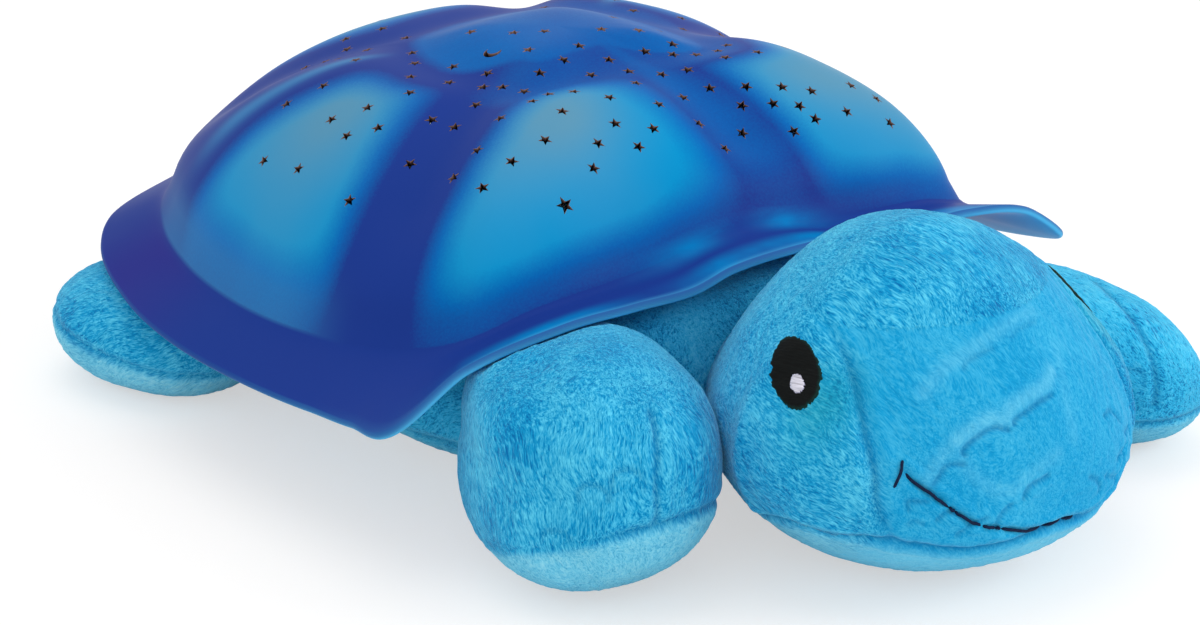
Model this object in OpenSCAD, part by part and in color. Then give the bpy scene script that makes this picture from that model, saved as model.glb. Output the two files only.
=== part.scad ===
// Turtle star projector: a plush turtle that carries a hard shell pierced with stars.
// The turtle faces -Y and stands on z = 0. Lengths are in millimetres.

/* [Shell] */
// Height of the middle of the dome above the floor
shell_top = 107; // [102:1:112]
// Thickness of the shell's wall
shell_wall = 2.4; // [1.8:0.1:3]
// How far a plate of the shell bulges above the grooves round it
scute_bulge = 4.5; // [3:0.1:5]
// Width over which a groove between two plates rounds out
scute_round = 13; // [9:0.5:15]
// Tip radius of a star hole
star_r = 2.1; // [1.6:0.1:2.6]
// Radius of the moon hole
moon_r = 2.6; // [2:0.1:3]
// Thickness of the clear liner behind the holes
liner_t = 0.8; // [0.6:0.1:1.2]

/* [Tray and lamp] */
// Height of the tray's underside above the floor
tray_z = 44; // [43:0.5:45]
// Thickness of the tray
tray_t = 2.4; // [2:0.1:3]
// How far the tray's edge lies inside the foot of the dome
tray_inset = 5; // [4:0.5:7]
// Height of the lamp post above the tray
post_h = 17; // [12:0.5:22]
// Radius of the lamp board
led_board_r = 14; // [12:0.5:16]
// Radius of a lamp
led_r = 2.5; // [2:0.1:3]
// Outer radius of a screw boss
boss_r = 3.8; // [3.4:0.1:4.4]
// Radius of a screw's shank
screw_r = 1.4; // [1.2:0.05:1.6]
// Radius of a screw's head
screw_head_r = 2.8; // [2.4:0.1:3.2]

/* [Buttons] */
// Radius of the power button
power_r = 6; // [5:0.1:7]
// Radius of a colour button
button_r = 4.8; // [4:0.1:5.2]
// How far a button travels when it is pressed
press_travel = 1; // [0.6:0.1:1.4]
// How far a button stands above the shell
button_proud = 1.3; // [1.2:0.1:2.4]
// Distance between the colour buttons
button_pitch = 15; // [14:0.5:17]

/* [Battery compartment] */
// Length of an AAA cell with its nub
cell_l = 44.5; // [44:0.1:45]
// Diameter of an AAA cell
cell_d = 10.5; // [10:0.1:10.5]
// Number of cells side by side
cell_count = 3; // [2:1:3]
// Wall of the compartment
box_wall = 1.8; // [1.4:0.1:2.4]
// Room for a contact spring
spring_room = 5.4; // [4.5:0.1:6]
// Thickness of the battery door
door_t = 2.2; // [1.8:0.1:2.6]

/* [Plush] */
// Width of the trunk
trunk_w = 176; // [168:1:182]
// Width of the head
head_w = 118; // [112:1:122]
// Width of a front flipper
flipper_w = 58; // [52:1:62]
// Length of a front flipper
flipper_l = 72; // [70:1:76]
// Width of a rear foot
foot_w = 56; // [52:1:60]
// Width of the pocket in the belly
pocket_w = 58; // [56:1:64]
// Thickness of the belly flap
flap_t = 4; // [3:0.5:5]
// Width of an embroidered eye
eye_w = 13.4; // [12:0.2:16]
// Height of an embroidered eye
eye_h = 19.2; // [17:0.2:22]

/* [Hidden] */

// Clearances that mating pieces share
soft_gap = 0.35;    // round a sewn or stuffed piece
seat_gap = 0.15;    // between hard pieces that rest on each other
slide_gap = 0.25;   // round a button, on each side
screw_gap = 0.1;    // round a screw's shank

royal = [0.17, 0.26, 0.60];
plush_blue = [0.18, 0.59, 0.77];
sole_blue = [0.43, 0.78, 0.90];
white_plastic = [0.92, 0.92, 0.90];
board_green = [0.10, 0.38, 0.22];
steel = [0.72, 0.73, 0.74];

// ---------------------------------------------------------------- shell outline
// The left half of the brim's edge and of the crease at the dome's foot, from the front to the back
BRIM = [[0, -60, 67.5], [18, -59.5, 66.5], [32, -59.5, 63.5], [50, -57, 62.5], [73, -55, 61.5], [101, -50, 55],
        [121.5, -45, 41.5], [121, -27, 38], [120.5, -7, 36], [121, 25, 34.5], [119.5, 59, 34.5], [112, 96, 35.5],
        [98, 130, 38.5], [85, 144, 41], [60, 153, 44], [0, 161.5, 47]];
CREASE = [[0, -39, 67], [35, -39, 62], [66, -39, 60], [88, -33, 54], [98, -13, 49], [102, 17, 46],
          [102, 52, 45], [97, 82, 46], [88, 107, 48], [72, 129, 50], [40, 141, 52], [0, 145, 53]];
shell_y = 42;
apex = [0, 38, shell_top];
dome_flat = 2.3;     // how long the dome stays flat before it curves down
dome_full = 0.58;    // how full its shoulders are
groove_dip = 3.6;    // how deep a groove lies under the smooth dome
groove_at = 0.36;    // where the groove round the middle plate lies, from the apex to the crease
// Azimuths of the grooves between the five outer plates; they aren't quite even about the middle
GROOVES = [12, 84, 152, -140, -64];
dome_rows = 12;
brim_rows = 2;

function rz(t) = [t[1], t[2]];
function polar_table(points) =
    [for (p = points) [atan2(p[0], shell_y - p[1]), norm([p[0], p[1] - shell_y]), p[2]]];
brim_table = polar_table(BRIM);
crease_table = polar_table(CREASE);
function span(t, a, i = 0) = i >= len(t) - 2 || a < t[i + 1][0] ? i : span(t, a, i + 1);
function slope(t, i) =
    i == 0 || i == len(t) - 1 ? [0, 0] : (rz(t[i + 1]) - rz(t[i - 1])) / (t[i + 1][0] - t[i - 1][0]);
// Radius and height of an outline at an azimuth, from 0 at the front to 180 at the back
function along(t, azimuth) =
    let (a = abs(azimuth), i = span(t, a), w = t[i + 1][0] - t[i][0], u = (a - t[i][0]) / w)
    rz(t[i]) * (1 - 3 * u * u + 2 * u * u * u) + rz(t[i + 1]) * (3 * u * u - 2 * u * u * u)
    + slope(t, i) * w * (u - 2 * u * u + u * u * u) + slope(t, i + 1) * w * (u * u * u - u * u);
function outline_point(t, a) = let (q = along(t, a)) [q[0] * sin(a), shell_y - q[0] * cos(a), q[1]];

function unit(v) = v / norm(v);
function upward(v) = v[2] < 0 ? -v : v;
function eased(low, high, x) = let (t = max(0, min(1, (x - low) / (high - low)))) t * t * (3 - 2 * t);
function wrapped(a) = a - 360 * round(a / 360);

function smooth_dome(a, s) =
    let (c = outline_point(crease_table, a), p = apex + (c - apex) * s)
    [p[0], p[1], c[2] + (apex[2] - c[2]) * pow(max(0, 1 - pow(s, dome_flat)), dome_full)];
// Distance from the nearest groove, measured along the dome
function groove_distance(a, s) =
    let (r = along(crease_table, a)[0], ring = abs(s - groove_at) * r,
         lines = [for (g = GROOVES) if (abs(wrapped(a - g)) < 90) abs(s * r * sin(wrapped(a - g)))],
         all = s < groove_at ? [ring] : concat([ring], lines),
         blend = 5)
    max(0, -blend * ln(vsum([for (d = all) exp(-d / blend)])));
function vsum(v, i = 0) = i >= len(v) ? 0 : v[i] + vsum(v, i + 1);
function scute_lift(a, s) =
    let (d = groove_distance(a, s) / scute_round, fade = 1 - eased(0.80, 0.99, s),
         middle = s < groove_at ? 0.8 : 1)
    fade * (scute_bulge * middle * (1 - exp(-d * d)) - groove_dip);
function dome_normal(a, s) =
    s < 0.01 ? [0, 0, 1] : upward(unit(cross(smooth_dome(a, min(1, s + 0.01)) - smooth_dome(a, s - 0.01),
                                             smooth_dome(a + 0.5, s) - smooth_dome(a - 0.5, s))));
// The shell's outer surface: v runs from 0 at the apex to 1 at the crease and 2 at the brim's edge
function shell_point(a, v) =
    v > 1 ? let (c = outline_point(crease_table, a)) c + (outline_point(brim_table, a) - c) * (v - 1)
          : smooth_dome(a, v) + dome_normal(a, v) * scute_lift(a, v);
function shell_normal(a, v) =
    v < 0.01 ? [0, 0, 1] : upward(unit(cross(shell_point(a, min(2, v + 0.02)) - shell_point(a, v - 0.02),
                                             shell_point(a + 0.5, v) - shell_point(a - 0.5, v))));
function shell_under(a, v, depth) = shell_point(a, v) - shell_normal(a, v) * depth;

// Azimuths of the shell's ribs, closer together where the brim turns
half_ribs = [for (i = [0:len(brim_table) - 2], k = [0, 1])
             let (wide = brim_table[i + 1][0] - brim_table[i][0]) if (k == 0 || wide > 12) brim_table[i][0] + wide * k / 2];
RIBS = concat(half_ribs, [180], [for (i = [len(half_ribs) - 1:-1:1]) -half_ribs[i]]);
shell_rows = concat([for (j = [1:dome_rows]) j / dome_rows], [for (j = [1:brim_rows]) 1 + j / brim_rows]);

// ---------------------------------------------------------------- star pattern
// Azimuth and place (0 at the apex, 1 at the crease) of each hole on the right and on the front left
STARS = [[-97, 0.69], [-91, 0.62], [-88, 0.71], [-82, 0.66], [-93, 0.82], [-104, 0.84], [-76, 0.84],
         [-72, 0.57], [-65, 0.56], [-69, 0.71], [-57, 0.73], [-54, 0.65], [-50, 0.77], [-46, 0.71],
         [-52, 0.53], [-45, 0.46], [-64, 0.46], [-36, 0.57], [-40, 0.67], [-30, 0.80], [-28, 0.73],
         [-22, 0.68], [-18, 0.78], [-12, 0.74], [6, 0.85], [-5, 0.65], [4, 0.75], [-20, 0.56],
         [-40, 0.43], [-31, 0.46], [-86, 0.52], [-97, 0.46], [-111, 0.40], [-124, 0.38], [-83, 0.41],
         [-95, 0.34], [-68, 0.38], [-73, 0.32], [-60, 0.36], [-50, 0.37], [-46, 0.29], [-19, 0.36],
         [2, 0.40], [14, 0.46], [24, 0.48], [-4, 0.50], [9, 0.61], [20, 0.60], [27, 0.65], [33, 0.69],
         [21, 0.71], [27, 0.74], [15, 0.80], [25, 0.84], [31, 0.82], [38, 0.82], [44, 0.87], [31, 0.77],
         [37, 0.73], [48, 0.80], [47, 0.74], [0, 0.30], [-33, 0.25], [-15, 0.19], [-60, 0.19], [28, 0.30],
         [35, 0.35], [40, 0.39], [47, 0.41], [38, 0.48], [55, 0.43], [46, 0.51], [-129, 0.22],
         [-105, 0.13], [-75, 0.06], [40, 0.12], [50, 0.20], [45, 0.30], [74, 0.47]];
// Holes that the two flanks share, one on each side
FLANK_STARS = [[-135, 0.72], [-140, 0.66], [-138, 0.60], [-134, 0.56], [-144, 0.56], [-151, 0.60],
               [-138, 0.49], [-155, 0.52], [-146, 0.41], [-113, 0.63], [-115, 0.72], [-123, 0.52]];
LEFT_STARS = [[62, 0.60], [70, 0.68], [78, 0.58], [84, 0.72], [92, 0.64], [99, 0.54], [104, 0.78],
              [88, 0.46], [112, 0.45], [66, 0.78], [74, 0.86], [96, 0.86], [72, 0.30], [95, 0.22],
              [120, 0.30], [150, 0.26]];
BIG_STAR = [-36, 0.87];
MOON = [-85, 0.24];
all_stars = concat(STARS, FLANK_STARS, [for (s = FLANK_STARS) [-s[0], s[1]]], LEFT_STARS);

// ---------------------------------------------------------------- shared places
tray_top = tray_z + tray_t;
box_y = 34;
box_in_w = cell_count * cell_d + 3;
box_in_l = cell_l + spring_room + 0.9;
box_floor = tray_z - cell_d - 4.5;      // the compartment's open rim
cell_z = tray_z - 1.7 - cell_d / 2;
door_top = box_floor - seat_gap;
boss_bite = 1;      // how far the door's boss runs into the compartment's wall
door_y = box_y + box_in_l / 2 + box_wall + boss_r - boss_bite;
post_y = 30;
ring_y = 36;
ring_in = 50;
ring_out = 64;
ring_top = tray_z - 2.2;
ring_t = 2.4;
BOSS_AZIMUTHS = [40, 118, -118, -40];
RING_ANGLES = [30, 90, 150, 210, 270, 330];
function boss_place(a) = let (r = along(crease_table, a)[0] - tray_inset - boss_r) [r * sin(a), shell_y - r * cos(a)];

panel_v = 0.87;
panel_tilt = 47;
panel_at = shell_point(180, panel_v);
board_depth = 15;
board_t = 1.6;
flange_drop = 4;    // from the shell's underside to a button's flange, clear of the dome's curve
button_foot = shell_wall + flange_drop + 2;
switch_h = 3.4;
COLOUR_BUTTON_Y = 7;
POWER_BUTTON_Y = -8;
BOARD_SCREW_X = 25;

pocket_front = -2;
pocket_back = 88;
ledge_l = 14;
ledge_z = flap_t + 2.6;
strip_w = 34;
strip_t = 1.1;

// ---------------------------------------------------------------- helpers
module on_panel() {
    translate(panel_at) rotate([-panel_tilt, 0, 0]) children();
}

// A closed solid through rings of equally many points, with flat ends
module ring_solid(rings) {
    n = len(rings[0]);
    last = len(rings) - 1;
    polyhedron(
        points = [for (ring = rings) each ring],
        faces = concat(
            [[for (i = [n - 1:-1:0]) i]],
            [for (j = [0:last - 1], i = [0:n - 1])
                each [[j * n + i, j * n + (i + 1) % n, (j + 1) * n + (i + 1) % n],
                      [j * n + i, (j + 1) * n + (i + 1) % n, (j + 1) * n + i]]],
            [[for (i = [0:n - 1]) last * n + i]]),
        convexity = 8);
}

function signed_power(x, p) = sign(x) * pow(abs(x), p);
// One rounded cross-section at a station [y, half width, top, bottom], with its widest line at "waist".
// "taper" is how much narrower it gets towards its top.
function section(s, waist, square, grow, floor_z, ceiling_z, taper = 0) =
    [for (i = [0:31]) let (a = i * 360 / 32,
                           c = signed_power(cos(a), 2 / square),
                           d = signed_power(sin(a), 2 / square),
                           mid = s[3] + (s[2] - s[3]) * waist,
                           slim = 1 - taper * pow(max(0, d + 0.3) / 1.3, 1.5),
                           z = mid + d * (d > 0 ? s[2] - mid + grow : mid - s[3] + grow))
     [(s[1] + grow) * c * slim, s[0], max(floor_z, min(ceiling_z, z))]];

// A rounded body of the given centre and half sizes, flat where it meets the floor
function blob_rings(half, power, n, m, grow) =
    [for (j = [0:m]) let (b = -90 + 180 * (j == 0 ? 0.06 : j == m ? m - 0.06 : j) / m,
                          r = pow(cos(b), power), y = signed_power(sin(b), power))
     [for (i = [0:n - 1]) let (a = i * 360 / n)
      [(half[0] + grow) * r * signed_power(cos(a), power), (half[1] + grow) * y,
       (half[2] + grow) * r * signed_power(sin(a), power)]]];
module blob(centre, half, turn = 0, power = 0.9, grow = 0, lean = 0, floor_z = 0, n = 24, m = 14) {
    rings = blob_rings(half, power, n, m, grow);
    ring_solid([for (ring = rings) [for (p = ring)
        let (x = p[0] * cos(turn) - p[1] * sin(turn), y = p[0] * sin(turn) + p[1] * cos(turn))
        [centre[0] + x, centre[1] + y, max(floor_z, centre[2] + p[2] - lean * x)]]]);
}

// A round or flat lead swept along a route
module lead(route, half_w, half_h, sides) {
    last = len(route) - 1;
    dirs = [for (i = [0:last]) unit(route[min(last, i + 1)] - route[max(0, i - 1)])];
    ring_solid([for (i = [0:last]) let (side = unit(cross(dirs[i], abs(dirs[i][2]) > 0.9 ? [0, 1, 0] : [0, 0, 1])),
                                        up = cross(side, dirs[i]))
        [for (k = [0:sides - 1]) let (a = 360 * k / sides + 180 / sides)
         route[i] + side * (half_w * cos(a)) + up * (half_h * sin(a))]]);
}

module rounded_slab(w, l, t, r) {
    linear_extrude(t) offset(r) square([w - 2 * r, l - 2 * r], center = true);
}

// A pan-head screw that points up, with the underside of its head at z = 0
module screw(length) {
    translate([0, 0, -1.8]) cylinder(h = 1.8, r = screw_head_r, $fn = 32);
    cylinder(h = length, r = screw_r, $fn = 32);
}

// ---------------------------------------------------------------- shell
function shell_ring(v, depth) = [for (a = RIBS) shell_under(a, v, depth)];

// A closed cap between two depths under the outer surface, down to a given row
module cap_between(outer, inner, rows) {
    n = len(RIBS);
    m = len(rows);
    top = [for (v = rows) each shell_ring(v, outer)];
    under = [for (v = rows) each shell_ring(v, inner)];
    tip = 2 * n * m;
    polyhedron(
        points = concat(top, under, [shell_under(0, 0, outer), shell_under(0, 0, inner)]),
        faces = concat(
            [for (i = [0:n - 1]) [tip, (i + 1) % n, i]],
            [for (i = [0:n - 1]) [tip + 1, n * m + i, n * m + (i + 1) % n]],
            [for (j = [0:m - 2], i = [0:n - 1]) let (p = j * n + i, q = j * n + (i + 1) % n)
                each [[p, q, q + n], [p, q + n, p + n]]],
            [for (j = [0:m - 2], i = [0:n - 1]) let (p = n * m + j * n + i, q = n * m + j * n + (i + 1) % n)
                each [[p, q + n, q], [p, p + n, q + n]]],
            [for (i = [0:n - 1]) let (p = (m - 1) * n + i, q = (m - 1) * n + (i + 1) % n)
                each [[p, q, n * m + q], [p, n * m + q, n * m + p]]]),
        convexity = 10);
}

// The dome filled down to the tray, which trims what stands inside it
module dome_core() {
    rows = [for (j = [1:dome_rows]) j / dome_rows];
    rings = [for (v = rows) shell_ring(v, shell_wall / 2)];
    n = len(RIBS);
    foot = [for (p = rings[len(rings) - 1]) [p[0], p[1], tray_z - 4]];
    stack = concat(rings, [foot]);
    polyhedron(
        points = concat([for (ring = stack) each ring], [shell_under(0, 0, shell_wall / 2)]),
        faces = concat(
            [for (i = [0:n - 1]) [n * len(stack), (i + 1) % n, i]],
            [for (j = [0:len(stack) - 2], i = [0:n - 1]) let (p = j * n + i, q = j * n + (i + 1) % n)
                each [[p, q, q + n], [p, q + n, p + n]]],
            [[for (i = [0:n - 1]) (len(stack) - 1) * n + i]]),
        convexity = 4);
}

// Stands a cutter on the shell at a hole's place, square to the surface
module on_shell(place) {
    p = shell_point(place[0], place[1]);
    z = shell_normal(place[0], place[1]);
    x = unit(cross([0, 1, 0.01], z));
    y = cross(z, x);
    multmatrix([[x[0], y[0], z[0], p[0]], [x[1], y[1], z[1], p[1]], [x[2], y[2], z[2], p[2]], [0, 0, 0, 1]])
        children();
}

module star_cutter(r, turn) {
    depth = 2 * shell_wall;
    translate([0, 0, -0.75 * depth]) linear_extrude(depth)
        polygon([for (k = [0:9]) let (q = k % 2 == 0 ? r : 0.42 * r) [q * cos(turn + 36 * k), q * sin(turn + 36 * k)]]);
}

module moon_cutter(r) {
    translate([0, 0, -1.5 * shell_wall]) linear_extrude(3 * shell_wall) difference() {
        circle(r, $fn = 20);
        translate([0.45 * r, 0.2 * r]) circle(0.82 * r, $fn = 20);
    }
}

// A round post with draft, stiffened by a rib
module boss(r, length, rib_turn) {
    hull() {
        cylinder(h = 0.1, r = r, $fn = 16);
        translate([0, 0, length]) cylinder(h = 0.1, r = r + 0.6, $fn = 16);
    }
    rotate(rib_turn) hull() {
        translate([0, -0.7, 1]) cube([r + 0.5, 1.4, 1]);
        translate([0, -0.7, length - 1]) cube([r + 5, 1.4, 1]);
    }
}

module shell_bosses() {
    intersection() {
        union() {
            for (a = BOSS_AZIMUTHS) translate([each boss_place(a), tray_top + seat_gap])
                boss(boss_r, 36, a - 90);
            on_panel() for (side = [-1, 1]) translate([side * BOARD_SCREW_X, 0, -board_depth + seat_gap])
                boss(3, board_depth + 4, side > 0 ? 0 : 180);
        }
        dome_core();
    }
}

// Turned by half a side, so that no corner lies on the shell's middle rib
module button_hole(r) {
    rotate(360 / 40 / 2) cylinder(h = 16, r = r + slide_gap, $fn = 40);
}

module shell_cover() {
    color(royal) difference() {
        union() {
            cap_between(0, shell_wall, shell_rows);
            shell_bosses();
        }
        for (i = [0:len(all_stars) - 1]) on_shell(all_stars[i]) star_cutter(star_r, 41 * i);
        on_shell(BIG_STAR) star_cutter(1.3 * star_r, 20);
        on_shell(MOON) moon_cutter(moon_r);
        for (a = BOSS_AZIMUTHS) translate([each boss_place(a), tray_z])
            cylinder(h = 12, r = screw_r + screw_gap, $fn = 20);
        on_panel() {
            translate([0, POWER_BUTTON_Y, -8]) button_hole(power_r);
            for (k = [-1:1]) translate([k * button_pitch, COLOUR_BUTTON_Y, -8]) button_hole(button_r);
            for (side = [-1, 1]) translate([side * BOARD_SCREW_X, 0, -board_depth])
                cylinder(h = 7, r = screw_r + screw_gap, $fn = 20);
        }
    }
}

module star_liner() {
    rows = [for (j = [1:dome_rows - 2]) j / dome_rows];
    top = shell_wall + soft_gap;
    color([0.85, 0.93, 0.97, 0.4]) difference() {
        cap_between(top, top + liner_t, rows);
        on_panel() translate([0, 2, -20]) rounded_slab(2 * BOARD_SCREW_X + 12, 40, 40, 6);
        for (a = BOSS_AZIMUTHS) translate([each boss_place(a), tray_top]) cylinder(h = shell_top, r = boss_r + 1, $fn = 20);
    }
}

// ---------------------------------------------------------------- tray, lamp and boards
module battery_box() {
    translate([0, box_y, box_floor]) difference() {
        union() {
            linear_extrude(tray_z - box_floor) square([box_in_w + 2 * box_wall, box_in_l + 2 * box_wall], center = true);
            translate([0, door_y - box_y, 0]) cylinder(h = tray_z - box_floor, r = boss_r, $fn = 32);
        }
        translate([0, 0, -1]) linear_extrude(tray_z - box_floor + 1) square([box_in_w, box_in_l], center = true);
        translate([0, door_y - box_y, -1]) cylinder(h = 11, r = screw_r + screw_gap, $fn = 32);
    }
}

module base_tray() {
    color(white_plastic) difference() {
        union() {
            translate([0, 0, tray_z]) linear_extrude(tray_t) polygon(
                [for (a = RIBS) let (r = along(crease_table, a)[0] - tray_inset) [r * sin(a), shell_y - r * cos(a)]]);
            battery_box();
            for (a = RING_ANGLES) translate([ring_mid() * cos(a), ring_y + ring_mid() * sin(a), tray_top])
                cylinder(h = 7, r = boss_r, $fn = 32);
        }
        for (a = BOSS_AZIMUTHS) translate([each boss_place(a), tray_z - 1]) cylinder(h = tray_t + 2, r = screw_r + screw_gap, $fn = 32);
        for (a = RING_ANGLES) translate([ring_mid() * cos(a), ring_y + ring_mid() * sin(a), tray_z - 1])
            cylinder(h = 8, r = screw_r + screw_gap, $fn = 32);
        for (way = [0, 180]) translate([0, box_y, tray_z - 1]) rotate(way) translate(lead_hole)
            cylinder(h = tray_t + 2, r = lead_r + slide_gap, $fn = 32);
    }
}
function ring_mid() = (ring_in + ring_out) / 2;

module lamp_post() {
    color(white_plastic) translate([0, post_y, tray_top]) rotate_extrude($fn = 64) polygon(
        [[8, 0], [20, 0], [20, 2], [led_board_r + 0.5, 4], [led_board_r - 1, post_h - 1], [led_board_r - 1, post_h],
         [led_board_r - 3, post_h], [led_board_r - 3, 6], [8, 4]]);
}

module lamp_board() {
    color(board_green) translate([0, post_y, tray_top + post_h]) cylinder(h = board_t, r = led_board_r, $fn = 64);
}

module lamp(i, tint) {
    color(tint) translate([0, post_y, tray_top + post_h + board_t]) rotate(120 * i) translate([0, 7, 0])
        rotate_extrude($fn = 32) polygon(concat(
            [[0, 0], [led_r + 0.4, 0], [led_r + 0.4, 1], [led_r, 1], [led_r, 5]],
            [for (a = [15:15:75]) [led_r * cos(a), 5 + led_r * sin(a)]], [[0, 5 + led_r]]));
}
module amber_lamp() lamp(0, [1, 0.72, 0.25]);
module green_lamp() lamp(1, [0.45, 0.9, 0.5]);
module blue_lamp() lamp(2, [0.35, 0.55, 1]);

module on_board() {
    on_panel() translate([0, 0, -board_depth]) children();
}

module control_board() {
    color(board_green) on_board() translate([0, 0, -board_t]) difference() {
        rounded_slab(2 * BOARD_SCREW_X + 8, 34, board_t, 2);
        for (side = [-1, 1]) translate([side * BOARD_SCREW_X, 0, -1]) cylinder(h = board_t + 2, r = screw_r + screw_gap, $fn = 32);
    }
}

// A timer chip, a capacitor and a resistor on the board's underside
module board_parts() {
    color([0.12, 0.12, 0.13]) on_board() translate([0, 0, -board_t]) {
        translate([-5, -2, -1.6]) cube([10, 6, 1.6]);
        translate([14, 6, -7]) cylinder(h = 7, r = 3, $fn = 32);
        translate([-17, 5, -1.2]) cube([6, 2.4, 1.2]);
    }
}

module tact_switches() {
    for (p = button_places()) color([0.15, 0.15, 0.16]) on_board() translate([p[0], p[1], 0]) {
        translate([-3, -3, 0]) cube([6, 6, switch_h]);
        translate([0, 0, switch_h]) cylinder(h = switch_gap() , r = 1.7, $fn = 32);
    }
}
function button_places() = concat([[0, POWER_BUTTON_Y]], [for (k = [-1:1]) [k * button_pitch, COLOUR_BUTTON_Y]]);
// Height of a switch's plunger, which ends just under the pressed button
function switch_gap() = board_depth - switch_h - button_foot - press_travel - 0.1;

module board_screws() {
    color(steel) on_board() for (side = [-1, 1]) translate([side * BOARD_SCREW_X, 0, -board_t]) screw(board_t + 5);
}

module button(place, r, tint) {
    color(tint) on_panel() translate([place[0], place[1], 0]) {
        translate([0, 0, -shell_wall - flange_drop])
            cylinder(h = shell_wall + flange_drop + button_proud - 1, r = r, $fn = 48);
        translate([0, 0, button_proud - 1]) cylinder(h = 1, r1 = r, r2 = r - 0.8, $fn = 48);
        translate([0, 0, -button_foot]) cylinder(h = 2, r = r + 1, $fn = 48);
    }
}
module power_button() button([0, POWER_BUTTON_Y], power_r, royal);
module amber_button() button([-button_pitch, COLOUR_BUTTON_Y], button_r, [0.95, 0.62, 0.2]);
module green_button() button([0, COLOUR_BUTTON_Y], button_r, [0.3, 0.75, 0.4]);
module blue_button() button([button_pitch, COLOUR_BUTTON_Y], button_r, [0.25, 0.45, 0.9]);

module shell_screws() {
    color(steel) for (a = BOSS_AZIMUTHS) translate([each boss_place(a), tray_z]) screw(tray_t + 8);
}

module clamp_ring() {
    color(white_plastic) translate([0, ring_y, ring_top - ring_t]) difference() {
        cylinder(h = ring_t, r = ring_out, $fn = 96);
        translate([0, 0, -1]) cylinder(h = ring_t + 2, r = ring_in, $fn = 96);
        for (a = RING_ANGLES) translate([ring_mid() * cos(a), ring_mid() * sin(a), -1])
            cylinder(h = ring_t + 2, r = screw_r + screw_gap, $fn = 32);
    }
}

module ring_screws() {
    color(steel) for (a = RING_ANGLES)
        translate([ring_mid() * cos(a), ring_y + ring_mid() * sin(a), ring_top - ring_t]) screw(ring_t + 9);
}

// ---------------------------------------------------------------- battery compartment
lead_r = 0.8;
lead_hole = [-14.2, 1.1 - box_in_l / 2];     // over the end contact, from the compartment's centre
cell_pitch = cell_d + 0.6;
nub_l = 0.9;
plate_t = 0.4;
function cell_x(i) = (i - (cell_count - 1) / 2) * cell_pitch;
function cell_way(i) = i % 2 == 0 ? 1 : -1;

// A cell whose nub touches its flat contact and whose other end rests on a spring
module cell(i) {
    if (i < cell_count) translate([cell_x(i), box_y, cell_z]) rotate(cell_way(i) > 0 ? 0 : 180)
        translate([0, box_in_l / 2 - plate_t - 0.05 - cell_l, 0]) rotate([-90, 0, 0]) {
            color([0.82, 0.66, 0.25]) cylinder(h = cell_l - nub_l, r = cell_d / 2, $fn = 48);
            color(steel) translate([0, 0, cell_l - nub_l]) cylinder(h = nub_l, r = 1.9, $fn = 32);
        }
}
module cell_1() cell(0);
module cell_2() cell(1);
module cell_3() cell(2);

// Flat plates against the end walls: a wide one joins two cells, a narrow one serves the third
module contact_plates() {
    h = cell_d - 1;
    color(steel) for (end = [-1, 1]) translate([0, box_y + end * (box_in_l / 2 - plate_t / 2), cell_z - h / 2]) {
        wide = (cell_count - 1) * cell_pitch - 3;
        translate([end * (cell_x(0) - 3.8) + (end > 0 ? 0 : -wide), -plate_t / 2 + 0.02, 0])
            cube([wide, plate_t - 0.04, h]);
        translate([end * cell_x(cell_count - 1) - 3.8, -plate_t / 2 + 0.02, 0]) cube([7.6, plate_t - 0.04, h]);
    }
}

module contact_springs() {
    turns = 2.5;
    steps = 26;
    length = box_in_l - 2 * plate_t - 0.05 - cell_l - 1.2;
    color(steel) for (i = [0:cell_count - 1])
        translate([cell_x(i), box_y - cell_way(i) * (box_in_l / 2 - plate_t - 0.5), cell_z])
            rotate([-90 * cell_way(i), 0, 0])
                lead([for (k = [0:steps]) let (t = k / steps, a = 360 * turns * t, r = 3.6 - 1.2 * t)
                      [r * cos(a), r * sin(a), length * t + 0.1]], 0.35, 0.35, 6);
}

// Leads rise from the compartment and run back over the tray to the underside of the control board
function smooth_route(points, steps) =
    [for (i = [0:len(points) - 2], k = [0:steps - 1])
        let (p0 = points[max(0, i - 1)], p1 = points[i], p2 = points[i + 1], p3 = points[min(len(points) - 1, i + 2)],
             t = k / steps)
        0.5 * (2 * p1 + (p2 - p0) * t + (2 * p0 - 5 * p1 + 4 * p2 - p3) * t * t
               + (3 * p1 - p0 - 3 * p2 + p3) * t * t * t)];
function board_spot(x, y, below) =
    let (z = -board_depth - board_t - below)
    panel_at + [x, y * cos(panel_tilt) + z * sin(panel_tilt), z * cos(panel_tilt) - y * sin(panel_tilt)];
lead_z = tray_top + 1.1;
function lead_start(way) = [for (z = [tray_z - 2.1, tray_z + 1, tray_top + 0.8])
    [way * lead_hole[0], box_y + way * lead_hole[1], z]];
function lead_end(x) = [board_spot(x, 12, 5), board_spot(x, 12, 0.05)];
FRONT_LEAD = concat(lead_start(1), [[-17, 8.5, tray_top + 2.2], [-24, 12, lead_z], [-30, 26, lead_z], [-32, 45, lead_z],
                                    [-30, 72, lead_z], [-24, 98, lead_z], [-20, 114, tray_top + 5]], lead_end(-20));
REAR_LEAD = concat(lead_start(-1), [[16, 62, tray_top + 2.2], [18, 70, lead_z], [21, 84, lead_z],
                                    [21, 100, lead_z], [20, 114, tray_top + 5]], lead_end(20));
LAMP_LEAD = concat([[0, post_y + led_board_r + 0.8, tray_top + post_h + 0.5], [0, 47.5, 60], [0, 50, 53],
                    [-1, 55, tray_top + 2], [-4, 66, lead_z + 0.3], [-10, 84, lead_z], [-10, 98, lead_z + 0.4],
                    [-5, 113, tray_top + 5]], lead_end(-2));

module battery_leads() {
    color([0.1, 0.1, 0.1]) lead(smooth_route(FRONT_LEAD, 3), lead_r, lead_r, 8);
    color([0.75, 0.1, 0.1]) lead(smooth_route(REAR_LEAD, 3), lead_r, lead_r, 8);
}

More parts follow.
